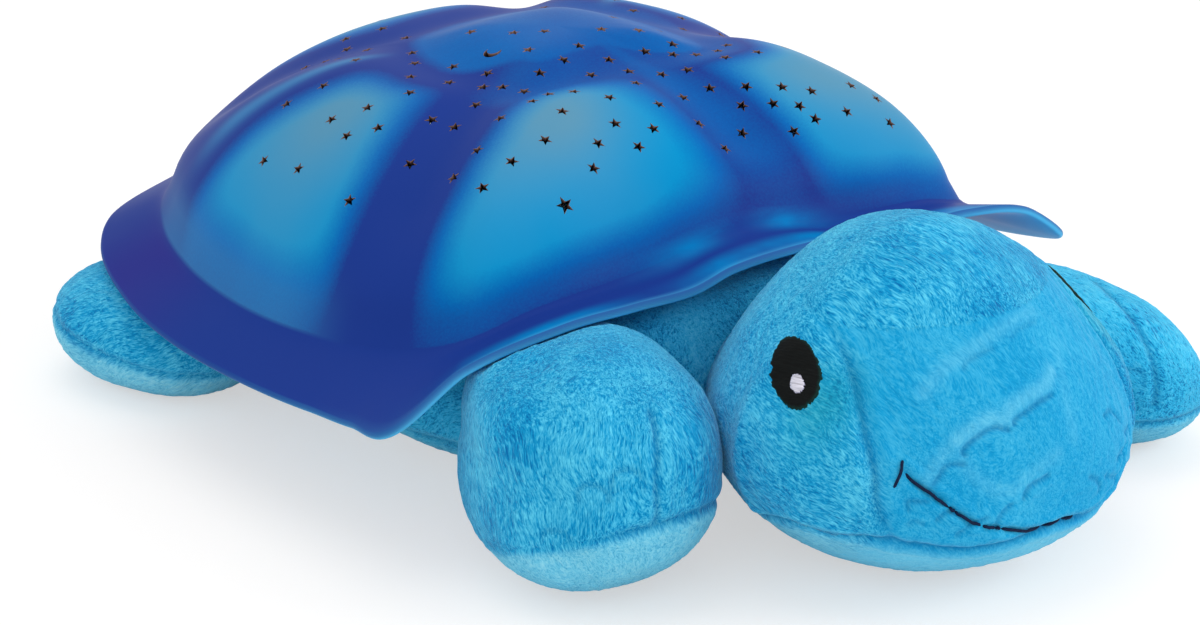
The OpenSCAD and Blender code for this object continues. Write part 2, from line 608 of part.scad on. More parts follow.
module lamp_lead() {
    color([0.85, 0.85, 0.86]) lead(smooth_route(LAMP_LEAD, 3), 3.2, 0.7, 8);
}

module battery_door() {
    w = box_in_w + 2 * box_wall + 3;
    l = box_in_l + 2 * box_wall + 3;
    color(white_plastic) difference() {
        union() {
            translate([0, box_y, door_top - door_t]) rounded_slab(w, l, door_t, 3);
            translate([0, door_y, door_top - door_t]) cylinder(h = door_t, r = boss_r + 1, $fn = 32);
            translate([0, box_y, door_top]) rounded_slab(box_in_w - 1, box_in_l - 1, 1.4, 1);
        }
        translate([0, box_y, door_top + 0.2]) rounded_slab(box_in_w - 4, box_in_l - 4, 2, 1);
        translate([0, door_y, door_top - door_t - 1]) cylinder(h = door_t + 2, r = screw_r + screw_gap, $fn = 32);
    }
}

module door_screw() {
    color(steel) translate([0, door_y, door_top - door_t]) screw(door_t + 7);
}

// ---------------------------------------------------------------- plush
// Stations from front to back: place along the turtle, half width as a share, top and bottom
TRUNK = [[-58, 0.44, 42, 15], [-54, 0.60, 50, 8], [-47, 0.75, 55.5, 3], [-37, 0.86, 56, -3], [-34, 0.88, 50, -5],
         [-22, 0.95, 50, -6], [0, 1, 50, -6], [30, 1, 50, -6], [60, 0.99, 50, -6], [85, 0.92, 50, -6],
         [103, 0.80, 49, -5], [117, 0.62, 46, -1], [127, 0.44, 41, 6], [133, 0.24, 34, 14]];
shoulder_end = -35;
module trunk_form(grow = 0) {
    last = len(TRUNK) - 1;
    ring_solid([for (i = [0:last]) let (s = TRUNK[i])
        section([s[0] + (i == 0 ? -grow : i == last ? grow : 0), s[1] * trunk_w / 2, s[2], s[3]],
                0.62, 2.4, grow, 0, s[0] < shoulder_end ? 100 : tray_z - soft_gap + grow)]);
}

HEAD = [[-57, 0.45, 53, 16], [-62, 0.51, 58.5, 11], [-68, 0.60, 66, 7.5], [-77, 0.72, 75, 5], [-88, 0.86, 84, 2.5],
        [-100, 0.95, 88.5, 0.5], [-112, 1, 89.5, -0.5], [-123, 0.98, 85, -0.5], [-133, 0.92, 78, 0.5],
        [-142, 0.82, 69, 2.5], [-150, 0.68, 59.5, 6], [-156, 0.52, 51, 11], [-160, 0.34, 43, 17], [-161.5, 0.16, 36, 23]];
head_square = 2.05;  // how square the head's sections are, from 2 for an ellipse
head_taper = 0.3;    // how much narrower the head is at its top
module head_form(grow = 0) {
    last = len(HEAD) - 1;
    ring_solid([for (i = [last:-1:0]) let (s = HEAD[i])
        section([s[0] + (i == 0 ? grow : i == last ? -grow : 0), s[1] * head_w / 2, s[2], s[3]],
                0.5, head_square, grow, 0, 200, head_taper)]);
}

module plush_trunk() {
    color(plush_blue) difference() {
        trunk_form();
        // The pocket, with a ledge over the free end of the flap
        translate([-pocket_w / 2, pocket_front, -1]) cube([pocket_w, pocket_back - pocket_front, ledge_z + 1]);
        translate([-pocket_w / 2, pocket_front, -1]) cube([pocket_w, pocket_back - pocket_front - ledge_l, 80]);
        // The hem that the ring clamps
        translate([0, ring_y, ring_top - ring_t - 2.4]) cylinder(h = ring_t + 2.4 + soft_gap, r = ring_out + 0.6, $fn = 96);
        translate([0, ring_y, tray_z - 12]) cylinder(h = 12, r = ring_in - 1, $fn = 96);
        for (a = RING_ANGLES) translate([ring_mid() * cos(a), ring_y + ring_mid() * sin(a), tray_z - 5])
            cylinder(h = 6, r = screw_r + 0.5, $fn = 32);
        for (a = BOSS_AZIMUTHS) translate([each boss_place(a), tray_z - 2.6]) cylinder(h = 20, r = screw_head_r + 0.6, $fn = 32);
        // Room for the tray in front of the shoulder
        translate([0, 0, tray_z - soft_gap]) linear_extrude(20) polygon(
            [for (a = RIBS) let (r = along(crease_table, a)[0] - tray_inset + soft_gap) [r * sin(a), shell_y - r * cos(a)]]);
    }
}

module plush_head() {
    color(plush_blue) difference() {
        head_form();
        trunk_form(soft_gap);
    }
}

// The right flipper props the shell, and the left one lies lower and further out
module flipper_form(side, grow = 0) {
    if (side < 0) blob([-76.5, -71, 30], [flipper_w / 2 + 2.5, flipper_l / 2 + 2, 27.5], -20, 0.8, grow, -0.14);
    else blob([87, -79, 23], [flipper_w / 2 + 2, flipper_l / 2 + 10, 24.5], 14, 0.97, grow, 0.25);
}
module front_flipper(side) {
    color(plush_blue) difference() {
        flipper_form(side);
        trunk_form(soft_gap);
        head_form(soft_gap);
    }
}
module front_flipper_right() front_flipper(-1);
module front_flipper_left() front_flipper(1);

foot_at = [89, 110, 17];
module foot_form(side, grow = 0) {
    blob([side * foot_at[0], foot_at[1], foot_at[2]], [foot_w / 2, 36, 18], side * -10, 0.95, grow);
}
module rear_foot(side) {
    color(plush_blue) difference() {
        foot_form(side);
        trunk_form(soft_gap);
    }
}
module rear_foot_right() rear_foot(-1);
module rear_foot_left() rear_foot(1);

tail_at = [0, 140, 17];
tail_half = [13, 21, 11];
module plush_tail() {
    color(plush_blue) difference() {
        blob(tail_at, tail_half, 0, 0.95, 0, 0, 2, 20, 10);
        trunk_form(soft_gap);
    }
}

// ---------------------------------------------------------------- face
EYE_TURN = 70;       // how far an eye looks sideways
EYE_TILT = 20;       // how far it looks up
EYE_AT = [16, -106.5, 49.5];
module eye_patch(side, w, h, shift, low, high) {
    difference() {
        intersection() {
            head_form(high);
            translate([side * EYE_AT[0], EYE_AT[1], EYE_AT[2]]) rotate([-EYE_TILT, 0, side * EYE_TURN]) translate([shift[0], 0, shift[1]])
                rotate([90, 0, 0]) scale([w / 2, h / 2, 1]) cylinder(h = 90, r = 1, $fn = 32);
        }
        head_form(low);
    }
}
module eye_right() color([0.03, 0.05, 0.05]) eye_patch(-1, eye_w, eye_h, [0, 0], 0.1, 0.9);
module eye_left() color([0.03, 0.05, 0.05]) eye_patch(1, eye_w, eye_h, [0, 0], 0.1, 0.9);
module eye_glint_right() color([0.9, 0.88, 1]) eye_patch(-1, 3.6, 5, [1.5, -2.5], 1, 1.5);
module eye_glint_left() color([0.9, 0.88, 1]) eye_patch(1, 3.6, 5, [-1.5, -2.5], 1, 1.5);

MOUTH = [[0, 21.5], [9, 22.5], [17, 25], [24, 28.5], [31, 33], [36, 38], [39, 44]];
module mouth_stitch() {
    color([0.05, 0.1, 0.25]) difference() {
        intersection() {
            head_form(0.8);
            translate([0, -120, 0]) rotate([90, 0, 0]) linear_extrude(60) for (side = [-1, 1], i = [0:len(MOUTH) - 2])
                hull() for (p = [MOUTH[i], MOUTH[i + 1]]) translate([side * p[0], p[1]]) circle(0.5, $fn = 8);
        }
        head_form(0.1);
    }
}

// ---------------------------------------------------------------- belly flap
module belly_flap() {
    l = pocket_back - pocket_front - 2 * soft_gap;
    color(sole_blue) translate([0, pocket_front + soft_gap + l / 2, 0]) rounded_slab(pocket_w - 2, l, flap_t, 3);
}
module strip(z) {
    translate([-strip_w / 2, pocket_back - ledge_l + 1, z]) cube([strip_w, ledge_l - 4, strip_t]);
}
module loop_strip() color([0.75, 0.85, 0.9]) strip(flap_t);
module hook_strip() color([0.1, 0.3, 0.5]) strip(ledge_z - strip_t);

shell_cover();
star_liner();
base_tray();
lamp_post();
lamp_board();
amber_lamp();
green_lamp();
blue_lamp();
control_board();
board_parts();
tact_switches();
board_screws();
power_button();
amber_button();
green_button();
blue_button();
shell_screws();
clamp_ring();
ring_screws();
cell_1();
cell_2();
cell_3();
contact_plates();
contact_springs();
battery_leads();
lamp_lead();
battery_door();
door_screw();
plush_trunk();
plush_head();
front_flipper_right();
front_flipper_left();
rear_foot_right();
rear_foot_left();
plush_tail();
eye_right();
eye_left();
eye_glint_right();
eye_glint_left();
mouth_stitch();
belly_flap();
loop_strip();
hook_strip();
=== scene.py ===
"""The looks of a plush turtle star projector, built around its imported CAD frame.

Shapes are worked out in millimetres, as in the part's source, and written to the meshes in metres.
"""
import math

import bmesh
import bpy
import numpy as np
from mathutils import Matrix, Vector
from mathutils.bvhtree import BVHTree
from mathutils.kdtree import KDTree


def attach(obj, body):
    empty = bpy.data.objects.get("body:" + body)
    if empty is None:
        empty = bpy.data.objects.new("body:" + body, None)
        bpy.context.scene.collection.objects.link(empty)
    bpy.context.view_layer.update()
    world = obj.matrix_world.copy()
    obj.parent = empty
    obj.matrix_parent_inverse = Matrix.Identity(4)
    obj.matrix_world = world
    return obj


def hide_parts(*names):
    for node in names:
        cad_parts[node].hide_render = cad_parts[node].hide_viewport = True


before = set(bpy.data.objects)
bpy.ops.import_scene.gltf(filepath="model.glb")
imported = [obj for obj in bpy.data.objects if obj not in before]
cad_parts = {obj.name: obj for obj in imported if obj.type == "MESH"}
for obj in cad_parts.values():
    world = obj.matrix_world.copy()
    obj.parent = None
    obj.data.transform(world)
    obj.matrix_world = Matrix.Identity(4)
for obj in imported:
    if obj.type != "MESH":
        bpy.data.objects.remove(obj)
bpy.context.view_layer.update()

MM = 0.001
BODY = "turtle"


# ---- numbers
def smoothstep(low, high, x):
    t = np.clip((np.asarray(x, float) - low) / (high - low), 0, 1)
    return t * t * (3 - 2 * t)


def bell(x, width):
    """A smooth bump of height 1, down to a third at one width from its middle."""
    return np.exp(-((x / width) ** 2))


def unit(v):
    return v / np.maximum(np.linalg.norm(v, axis=-1, keepdims=True), 1e-12)


def signed_power(x, p):
    return np.sign(x) * np.abs(x) ** p


def round_points(radius, angle):
    """Flat points at the given angles and distance from the middle."""
    return np.stack([radius * np.cos(angle), radius * np.sin(angle)], 1)


def lattice(i, seed):
    """A number from -1 to 1 for each whole-numbered point."""
    n = (i[..., 0] * 374761393 + i[..., 1] * 668265263 + i[..., 2] * 1440662683 + seed * 974711) & 0x7FFFFFFF
    n = ((n ^ (n >> 13)) * 1274126177) & 0x7FFFFFFF
    return ((n ^ (n >> 16)) & 0xFFFF) / 32767.5 - 1


def noise(points, size, seed=0):
    """Smooth noise from -1 to 1, with lumps of about the given size."""
    q = np.asarray(points, float) / size
    base = np.floor(q).astype(np.int64)
    t = q - base
    t = t * t * (3 - 2 * t)
    total = 0
    for corner in np.ndindex(2, 2, 2):
        weight = np.prod(np.where(np.array(corner) == 1, t, 1 - t), axis=-1)
        total = total + weight * lattice(base + np.array(corner), seed)
    return total


def distance_to_stroke(points, stroke):
    """Distance from each point to a line through the stroke's points."""
    best = np.full(len(points), 1e9)
    stroke = np.asarray(stroke, float)
    for a, b in zip(stroke[:-1], stroke[1:]):
        d = b - a
        t = np.clip((points - a) @ d / (d @ d), 0, 1)[:, None]
        best = np.minimum(best, np.linalg.norm(points - a - t * d, axis=1))
    return best


def dent(distance, depth, width, shoulder=0.35):
    """A groove of the given depth and half width, with a raised shoulder on each side."""
    groove = -depth * bell(distance, width)
    return groove + depth * shoulder * bell(distance - 2.6 * width, 1.2 * width)


def rounded_path(points, steps):
    """A smooth curve through given points."""
    p = np.asarray(points, float)
    p = np.vstack([2 * p[0] - p[1], p, 2 * p[-1] - p[-2]])
    out = []
    for i in range(1, len(p) - 2):
        for t in np.arange(steps) / steps:
            out.append(0.5 * (2 * p[i] + (p[i + 1] - p[i - 1]) * t
                              + (2 * p[i - 1] - 5 * p[i] + 4 * p[i + 1] - p[i + 2]) * t ** 2
                              + (3 * p[i] - p[i - 1] - 3 * p[i + 1] + p[i + 2]) * t ** 3))
    out.append(p[-2])
    return np.array(out)


# ---- meshes
def make_object(name, points, faces, materials, smooth=True):
    mesh = bpy.data.meshes.new(name)
    mesh.from_pydata((np.asarray(points) * MM).tolist(), [], [list(map(int, f)) for f in faces])
    mesh.update()
    obj = bpy.data.objects.new(name, mesh)
    bpy.context.scene.collection.objects.link(obj)
    for material in materials if isinstance(materials, (list, tuple)) else [materials]:
        mesh.materials.append(material)
    mesh.polygons.foreach_set("use_smooth", [smooth] * len(mesh.polygons))
    return obj


def vertex_values(obj, key):
    values = np.zeros(len(obj.data.vertices) * 3, np.float32)
    obj.data.vertices.foreach_get(key, values)
    return values.reshape(-1, 3).astype(float)


def points_of(obj):
    return vertex_values(obj, "co") / MM


def set_points(obj, points):
    obj.data.vertices.foreach_set("co", (np.asarray(points) * MM).astype(np.float32).ravel())
    obj.data.update()


def normals_of(obj):
    return vertex_values(obj, "normal")


def set_attribute(obj, name, values):
    attribute = obj.data.attributes.new(name, "FLOAT", "POINT")
    attribute.data.foreach_set("value", np.asarray(values, np.float32))


def apply_modifiers(obj):
    depsgraph = bpy.context.evaluated_depsgraph_get()
    mesh = bpy.data.meshes.new_from_object(obj.evaluated_get(depsgraph))
    obj.modifiers.clear()
    obj.data = mesh


def cut(obj, cutters, solver="MANIFOLD"):
    """Takes the cutters out of obj and deletes them."""
    for cutter in cutters:
        modifier = obj.modifiers.new("cut", "BOOLEAN")
        modifier.operation = "DIFFERENCE"
        modifier.solver = solver
        modifier.object = cutter
    apply_modifiers(obj)
    for cutter in cutters:
        bpy.data.objects.remove(cutter, do_unlink=True)


def grid_faces(rows, columns, closed=True):
    """Quads of a grid of rows, whose last column joins the first if it is closed."""
    r, c = np.meshgrid(np.arange(rows - 1), np.arange(columns if closed else columns - 1), indexing="ij")
    nxt = (c + 1) % columns
    return np.stack([r * columns + c, r * columns + nxt, (r + 1) * columns + nxt, (r + 1) * columns + c],
                    axis=-1).reshape(-1, 4)


def sphere_grid(n):
    """Directions spread evenly over a sphere, from a cube with n by n squares on each side."""
    t = np.tan(np.linspace(-math.pi / 4, math.pi / 4, n + 1))
    a, b = np.meshgrid(t, t, indexing="ij")
    one = np.ones_like(a)
    sides = [(one, a, b), (-one, b, a), (b, one, a), (a, -one, b), (a, b, one), (b, a, -one)]
    points = np.concatenate([np.stack(s, -1).reshape(-1, 3) for s in sides])
    quads = np.concatenate([grid_faces(n + 1, n + 1, False) + k * (n + 1) ** 2 for k in range(6)])
    points = unit(points)
    first, inverse = np.unique(np.round(points, 6), axis=0, return_index=True, return_inverse=True)[1:]
    return points[first], inverse.ravel()[quads]


def tube(route, radius, sides):
    """Points and faces of a round tube along a route, closed at both ends."""
    route = np.asarray(route, float)
    along = unit(np.gradient(route, axis=0))
    side = unit(np.cross(along, np.array([0.3, 0.1, 1.0])))
    up = np.cross(side, along)
    angles = np.arange(sides) * 2 * math.pi / sides
    ring = side[:, None] * np.cos(angles)[None, :, None] + up[:, None] * np.sin(angles)[None, :, None]
    points = (route[:, None] + ring * radius).reshape(-1, 3)
    faces = [list(f) for f in grid_faces(len(route), sides)]
    faces += [list(range(sides))[::-1], [(len(route) - 1) * sides + i for i in range(sides)]]
    return points, faces


def join_parts(parts):
    """One list of points and faces from several."""
    points, faces, start = [], [], 0
    for p, f in parts:
        points.append(p)
        faces += [[int(i) + start for i in face] for face in f]
        start += len(p)
    return np.concatenate(points), faces


# ---- materials
def linear(*colour):
    """A linear colour from red, green and blue written in 0 to 255."""
    steps = [c / 255 for c in colour]
    return tuple(c / 12.92 if c <= 0.04045 else ((c + 0.055) / 1.055) ** 2.4 for c in steps) + (1,)


def darker(colour, share):
    """A colour with its light turned down to a share."""
    return tuple(c * share for c in colour[:3]) + (1,)


class Nodes:
    """The node tree of a material or world, with short calls for the nodes that repeat."""

    def __init__(self, owner):
        self.owner = owner
        owner.use_nodes = True
        self.tree = owner.node_tree
        self.shader = self.tree.nodes.get("Principled BSDF")

    def new(self, kind, **values):
        """A node with its settings, and its inputs where the name has a capital."""
        node = self.tree.nodes.new(kind)
        for key, value in values.items():
            if key[0].isupper():
                node.inputs[key.replace("_", " ")].default_value = value
            else:
                setattr(node, key, value)
        return node

    def link(self, source, target):
        self.tree.links.new(source, target)

    def feed(self, socket, value):
        if isinstance(value, bpy.types.NodeSocket):
            self.link(value, socket)
        else:
            socket.default_value = value

    def math(self, operation, a, b):
        node = self.new("ShaderNodeMath", operation=operation)
        self.feed(node.inputs[0], a)
        self.feed(node.inputs[1], b)
        return node.outputs[0]

    def seen_directly(self):
        """1 for what the camera sees, also by mirror or glass, and 0 for what only lights the scene."""
        rays = self.new("ShaderNodeLightPath").outputs
        seen = self.math("MAXIMUM", rays["Is Camera Ray"], rays["Is Transmission Ray"])
        return self.math("MAXIMUM", seen, rays["Is Glossy Ray"])

    def attribute(self, name):
        return self.new("ShaderNodeAttribute", attribute_name=name).outputs["Fac"]

    def position(self):
        return self.new("ShaderNodeTexCoord").outputs["Object"]

    def scaled(self, vector, scale, location=(0, 0, 0)):
        node = self.new("ShaderNodeMapping", Scale=scale, Location=location)
        self.link(vector, node.inputs["Vector"])
        return node.outputs[0]

    def turned(self, vector, direction):
        """Coordinates whose first axis lies along a direction."""
        turn = Vector(direction).normalized().to_track_quat("X", "Z").to_euler()
        node = self.new("ShaderNodeVectorRotate", rotation_type="EULER_XYZ", invert=True, Rotation=turn)
        self.link(vector, node.inputs["Vector"])
        return node.outputs[0]

    def noise(self, vector, scale, detail=2.0, roughness=0.5, distortion=0.0, output="Fac"):
        node = self.new("ShaderNodeTexNoise", Scale=scale, Detail=detail, Roughness=roughness,
                        Distortion=distortion)
        self.link(vector, node.inputs["Vector"])
        return node.outputs[output]

    def ramp(self, factor, stops, interpolation="LINEAR"):
        node = self.new("ShaderNodeValToRGB")
        ramp = node.color_ramp
        ramp.interpolation = interpolation
        while len(ramp.elements) < len(stops):
            ramp.elements.new(0.5)
        for element, (place, colour) in zip(ramp.elements, stops):
            element.position = place
            element.color = colour
        self.feed(node.inputs["Fac"], factor)
        return node.outputs["Color"]

    def mix(self, factor, a, b):
        """A colour between a and b. Inputs 6 and 7 and output 2 of the node are its colours."""
        node = self.new("ShaderNodeMix", data_type="RGBA")
        self.feed(node.inputs["Factor"], factor)
        self.feed(node.inputs[6], a)
        self.feed(node.inputs[7], b)
        return node.outputs[2]

    def remap(self, value, low, high, to_low=0.0, to_high=1.0):
        node = self.new("ShaderNodeMapRange", From_Min=low, From_Max=high, To_Min=to_low, To_Max=to_high)
        self.link(value, node.inputs["Value"])
        return node.outputs[0]

    def bump(self, height, strength, distance):
        node = self.new("ShaderNodeBump", Strength=strength, Distance=distance)
        self.link(height, node.inputs["Height"])
        return node.outputs[0]

    def finish(self, colour, roughness, normal=None, **constants):
        self.feed(self.shader.inputs["Base Color"], colour)
        self.feed(self.shader.inputs["Roughness"], roughness)
        if normal is not None:
            self.link(normal, self.shader.inputs["Normal"])
        for key, value in constants.items():
            self.shader.inputs[key.replace("_", " ")].default_value = value
        return self.owner


def new_material(name):
    return Nodes(bpy.data.materials.new(name))


ROYAL = linear(28, 56, 138)
INDIGO = linear(46, 38, 130)
AZURE = linear(4, 100, 176)
CYAN = linear(0, 142, 198)
PALE_CYAN_AND_HIGHLIGHT = linear(90, 144, 172)
# Bare lighter plastic of the edge, with a painted highlight
LIP_CYAN_AND_HIGHLIGHT = linear(84, 186, 232)
BRIM_AZURE_AND_HIGHLIGHT = linear(2, 122, 188)
PLUSH = linear(20, 153, 207)
# A lighter copy of the plush: painted light for the left flipper and the trunk, which sit in shade
PLUSH_PAINTED_LIGHTER = linear(44, 178, 226)
# Painted highlight on the tops of the tufts, and painted shade in the hollows between them
PLUSH_TIP_HIGHLIGHT = linear(92, 206, 240)
PLUSH_HOLLOW_SHADE = linear(2, 108, 172)
PLUSH_SOLE = linear(114, 206, 236)
# The same painted shade and highlight on the paler sole panels
SOLE_HOLLOW_SHADE = linear(60, 166, 212)
SOLE_TIP_HIGHLIGHT = linear(150, 220, 240)
# Dark seam lines, and painted shade in the creases of wrinkles and embossed arcs
SEAM_AND_CREASE_SHADE = linear(6, 74, 136)
TEAL = linear(36, 158, 164)
# How far the pile's lie wanders, and its height, in metres
PILE_SWIRL = (0.016, 0.016, 0.016)
PILE_DEPTH = 0.0008
# Where most of a noise's values lie, and the height of a fine grain in metres
NOISE_SPAN = (0.3, 0.7)
GRAIN_DEPTH = 0.00002


def moulded(name, colour, roughness=0.38, tint=0.06, **constants):
    """Moulded plastic with a fine spark-eroded grain and a little unevenness."""
    n = new_material(name)
    where = n.position()
    fine = n.noise(where, 900, 3)
    broad = n.noise(where, 45, 3)
    shade = n.mix(broad, colour, darker(colour, 1 - tint))
    rough = n.remap(broad, *NOISE_SPAN, roughness * 0.85, roughness * 1.15)
    return n.finish(shade, rough, n.bump(fine, 0.35, GRAIN_DEPTH), **constants)


def metal(name, colour, roughness):
    """Plated metal with fine drawn lines."""
    n = new_material(name)
    lines = n.noise(n.scaled(n.position(), (1, 0.08, 1)), 2600, 4)
    broad = n.noise(n.position(), 120, 2)
    rough = n.remap(broad, *NOISE_SPAN, roughness * 0.75, roughness * 1.3)
    return n.finish(colour, rough, n.bump(lines, 0.25, GRAIN_DEPTH), Metallic=1.0)


def shell_paint():
    """Moulded shell, sprayed deep blue along the grooves and cyan on the plates. Each plate's pale middle is
    partly spray and partly a painted highlight, and the brim and edge carry painted highlights too.
    """
    n = new_material("shell_paint")
    where = n.position()
    drift = n.noise(where, 22, 2)
    speck = n.noise(where, 1600, 1)
    plate = n.math("ADD", n.attribute("plate"), n.remap(drift, *NOISE_SPAN, -0.06, 0.06))
    plate = n.math("ADD", plate, n.remap(speck, *NOISE_SPAN, -0.03, 0.03))
    colour = n.ramp(plate, [(0.0, ROYAL), (0.18, ROYAL), (0.48, AZURE), (0.85, CYAN)])
    # Pale middles of the plates: partly paler spray, partly a painted highlight
    pale = n.math("ADD", n.attribute("pale"), n.remap(drift, *NOISE_SPAN, -0.08, 0.08))
    colour = n.mix(n.math("MULTIPLY", pale, n.remap(plate, 0.35, 0.9)), colour, PALE_CYAN_AND_HIGHLIGHT)
    cloud = n.remap(n.noise(where, 12, 2), 0.3, 0.6, 0.4, 1)
    colour = n.mix(n.math("MULTIPLY", n.attribute("purple"), cloud), colour, INDIGO)
    # Azure on the brim: partly spray, partly painted reflection streaks
    streak_highlight = n.remap(n.noise(n.scaled(where, (1, 1, 5)), 40, 3), 0.35, 0.6, 0.45, 1)
    colour = n.mix(n.math("MULTIPLY", n.attribute("brim"), streak_highlight), colour, BRIM_AZURE_AND_HIGHLIGHT)
    # Painted highlight along the edge, partly the bare lighter plastic there
    colour = n.mix(n.attribute("lip"), colour, LIP_CYAN_AND_HIGHLIGHT)
    rough = n.remap(drift, *NOISE_SPAN, 0.34, 0.42)
    grain = n.bump(n.noise(where, 700, 3), 0.2, 0.00003)
    return n.finish(colour, rough, grain, Specular_IOR_Level=0.02)


def hole_wall():
    """The cut edge of a hole: bare plastic at the surface, with painted shade darkening it further in."""
    n = new_material("hole_wall")
    stops = [(0.0, linear(168, 134, 120)), (0.3, linear(96, 72, 66)), (0.7, linear(20, 16, 18))]
    colour = n.ramp(n.attribute("deep"), stops)
    return n.finish(colour, 0.7, Specular_IOR_Level=0.2)


def plush_fabric(name, pile, base=PLUSH, tip_highlight=PLUSH_TIP_HIGHLIGHT, deep=PLUSH_HOLLOW_SHADE, strength=0.8):
    """Short pile whose strands lie along the given direction, with brushed patches, and colour that follows
    the pile's height: painted shade in the hollows between tufts and painted highlight on their tops.
    """
    n = new_material(name)
    where = n.position()
    warp = n.new("ShaderNodeVectorMath", operation="MULTIPLY_ADD")
    n.link(n.noise(where, 34, 2, output="Color"), warp.inputs[0])
    warp.inputs[1].default_value = PILE_SWIRL
    n.link(where, warp.inputs[2])
    laid = n.turned(warp.outputs[0], pile)
    strands = n.noise(n.scaled(laid, (0.2, 1, 1)), 2500, 2, 0.6, 0.3)
    tufts = n.noise(n.scaled(laid, (0.3, 1, 1), (3, 1, 2)), 1000, 3, 0.6, 0.6)
    patches = n.noise(where, 45, 3, 0.55)
    height = n.math("ADD", n.math("MULTIPLY", strands, 0.5), n.math("MULTIPLY", tufts, 0.5))
    short = n.math("SUBTRACT", 1.0, n.math("MULTIPLY", n.attribute("short"), 0.6))
    relief = n.math("MULTIPLY", height, short)
    # Painted shade and highlight: the colour follows the pile's height, darker in its hollows and lighter on
    # its tops
    shade = n.math("ADD", n.remap(height, 0.34, 0.66), n.remap(patches, *NOISE_SPAN, -0.2, 0.2))
    shade = n.math("ADD", n.math("MULTIPLY", n.math("SUBTRACT", shade, 0.5), short), 0.5)
    colour = n.ramp(shade, [(0.0, deep), (0.42, base), (1.0, tip_highlight)])
    pale = n.ramp(shade, [(0.0, SOLE_HOLLOW_SHADE), (0.5, PLUSH_SOLE), (1.0, SOLE_TIP_HIGHLIGHT)])
    colour = n.mix(n.attribute("sole"), colour, pale)
    # Dark seam lines, and painted shade in creases
    colour = n.mix(n.math("MULTIPLY", n.attribute("seam"), 0.7), colour, SEAM_AND_CREASE_SHADE)
    colour = n.mix(n.math("MULTIPLY", n.attribute("teal"), 0.4), colour, TEAL)
    return n.finish(colour, 0.95, n.bump(relief, strength, PILE_DEPTH), Sheen_Weight=0.4,
                    Sheen_Roughness=0.35, Sheen_Tint=(0.45, 0.85, 1.0, 1), Specular_IOR_Level=0.04)


def thread(name, colour, rim, direction, scale):
    """Satin stitch: parallel shiny threads, with painted shade where they meet."""
    n = new_material(name)
    lines = n.noise(n.scaled(n.turned(n.position(), direction), (0.12, 1, 1)), scale, 2, 0.5, 0.3)
    shade = n.ramp(lines, [(0.3, darker(colour, 0.45)), (0.7, colour)])
    return n.finish(n.mix(n.attribute("rim"), shade, rim), 0.75, n.bump(lines, 0.8, 0.0003),
                    Specular_IOR_Level=0.12)


# ---- shell
# Half outlines of the brim's edge and of the crease above it, as x, y, z from the front to the back
BRIM = [[0, -60, 67.5], [18, -59.5, 66.5], [32, -59.5, 63.5], [50, -57, 62.5], [73, -55, 61.5],
        [101, -50, 55], [121.5, -45, 41.5], [121, -27, 38], [120.5, -7, 36], [121, 25, 34.5],
        [119.5, 59, 34.5], [112, 96, 35.5], [98, 130, 38.5], [85, 144, 41], [60, 153, 44], [0, 161.5, 47]]
CREASE = [[0, -39, 67], [35, -39, 62], [66, -39, 60], [88, -33, 54], [98, -13, 49], [102, 17, 46],
          [102, 52, 45], [97, 82, 46], [88, 107, 48], [72, 129, 50], [40, 141, 52], [0, 145, 53]]
SHELL_Y = 42
APEX = np.array([0, 38, 107.0])
WALL = 2.4
# How far the rounded edge is set back, as a share of half the wall, and how much painted highlight each of
# its rows gets
LIP_SETBACK = 0.9
LIP_HIGHLIGHT_SHARE = [0.15, 0.2, 0.3, 0.5, 0.85, 1.0, 0.9]
# Powers that flatten the dome's top and fill out its flanks
DOME_FLAT = 2.3
DOME_FULL = 0.58
SCUTE_BULGE = 4.5
SCUTE_ROUND = 13
GROOVE_DIP = 3.6
GROOVE_AT = 0.36
GROOVE_CORNER = 5
# Azimuths of the grooves between the outer plates. GROOVE_AT is where the ring groove lies
GROOVES = [12, 84, 152, -140, -64]
# Rows of the mesh from apex to crease and from crease to brim, and its step along the brim's edge
DOME_ROWS = 84
BRIM_ROWS = 14
BRIM_STEP = 2.0
CREASE_ROUND = 5.0


def polar(points):
    """Azimuth from the front, and distance from the shell's axis."""
    away = SHELL_Y - points[:, 1]
    return np.degrees(np.arctan2(points[:, 0], away)), np.hypot(points[:, 0], away)


def polar_table(points):
    p = np.array(points, float)
    return np.stack([*polar(p), p[:, 2]], 1)


BRIM_TABLE = polar_table(BRIM)
CREASE_TABLE = polar_table(CREASE)


def along_table(table, azimuth):
    """Radius and height of an outline at each azimuth, from 0 at the front to 180 at the back."""
    a = np.abs(azimuth)
    i = np.clip(np.searchsorted(table[:, 0], a, side="right") - 1, 0, len(table) - 2)
    slope = np.zeros((len(table), 2))
    slope[1:-1] = (table[2:, 1:] - table[:-2, 1:]) / (table[2:, :1] - table[:-2, :1])
    w = (table[i + 1, 0] - table[i, 0])[:, None]
    u = (a - table[i, 0])[:, None] / w
    return (table[i, 1:] * (1 - 3 * u ** 2 + 2 * u ** 3) + table[i + 1, 1:] * (3 * u ** 2 - 2 * u ** 3)
            + slope[i] * w * (u - 2 * u ** 2 + u ** 3) + slope[i + 1] * w * (u ** 3 - u ** 2))


def outline_point(table, azimuth):
    q = along_table(table, azimuth)
    a = np.radians(azimuth)
    return np.stack([q[:, 0] * np.sin(a), SHELL_Y - q[:, 0] * np.cos(a), q[:, 1]], 1)


def smooth_dome(azimuth, s):
    c = outline_point(CREASE_TABLE, azimuth)
    p = APEX + (c - APEX) * s[:, None]
    rise = np.maximum(0, 1 - s ** DOME_FLAT) ** DOME_FULL
    p[:, 2] = c[:, 2] + (APEX[2] - c[:, 2]) * rise
    return p


def turn_from(azimuth, other):
    away = azimuth - other
    return away - 360 * np.round(away / 360)


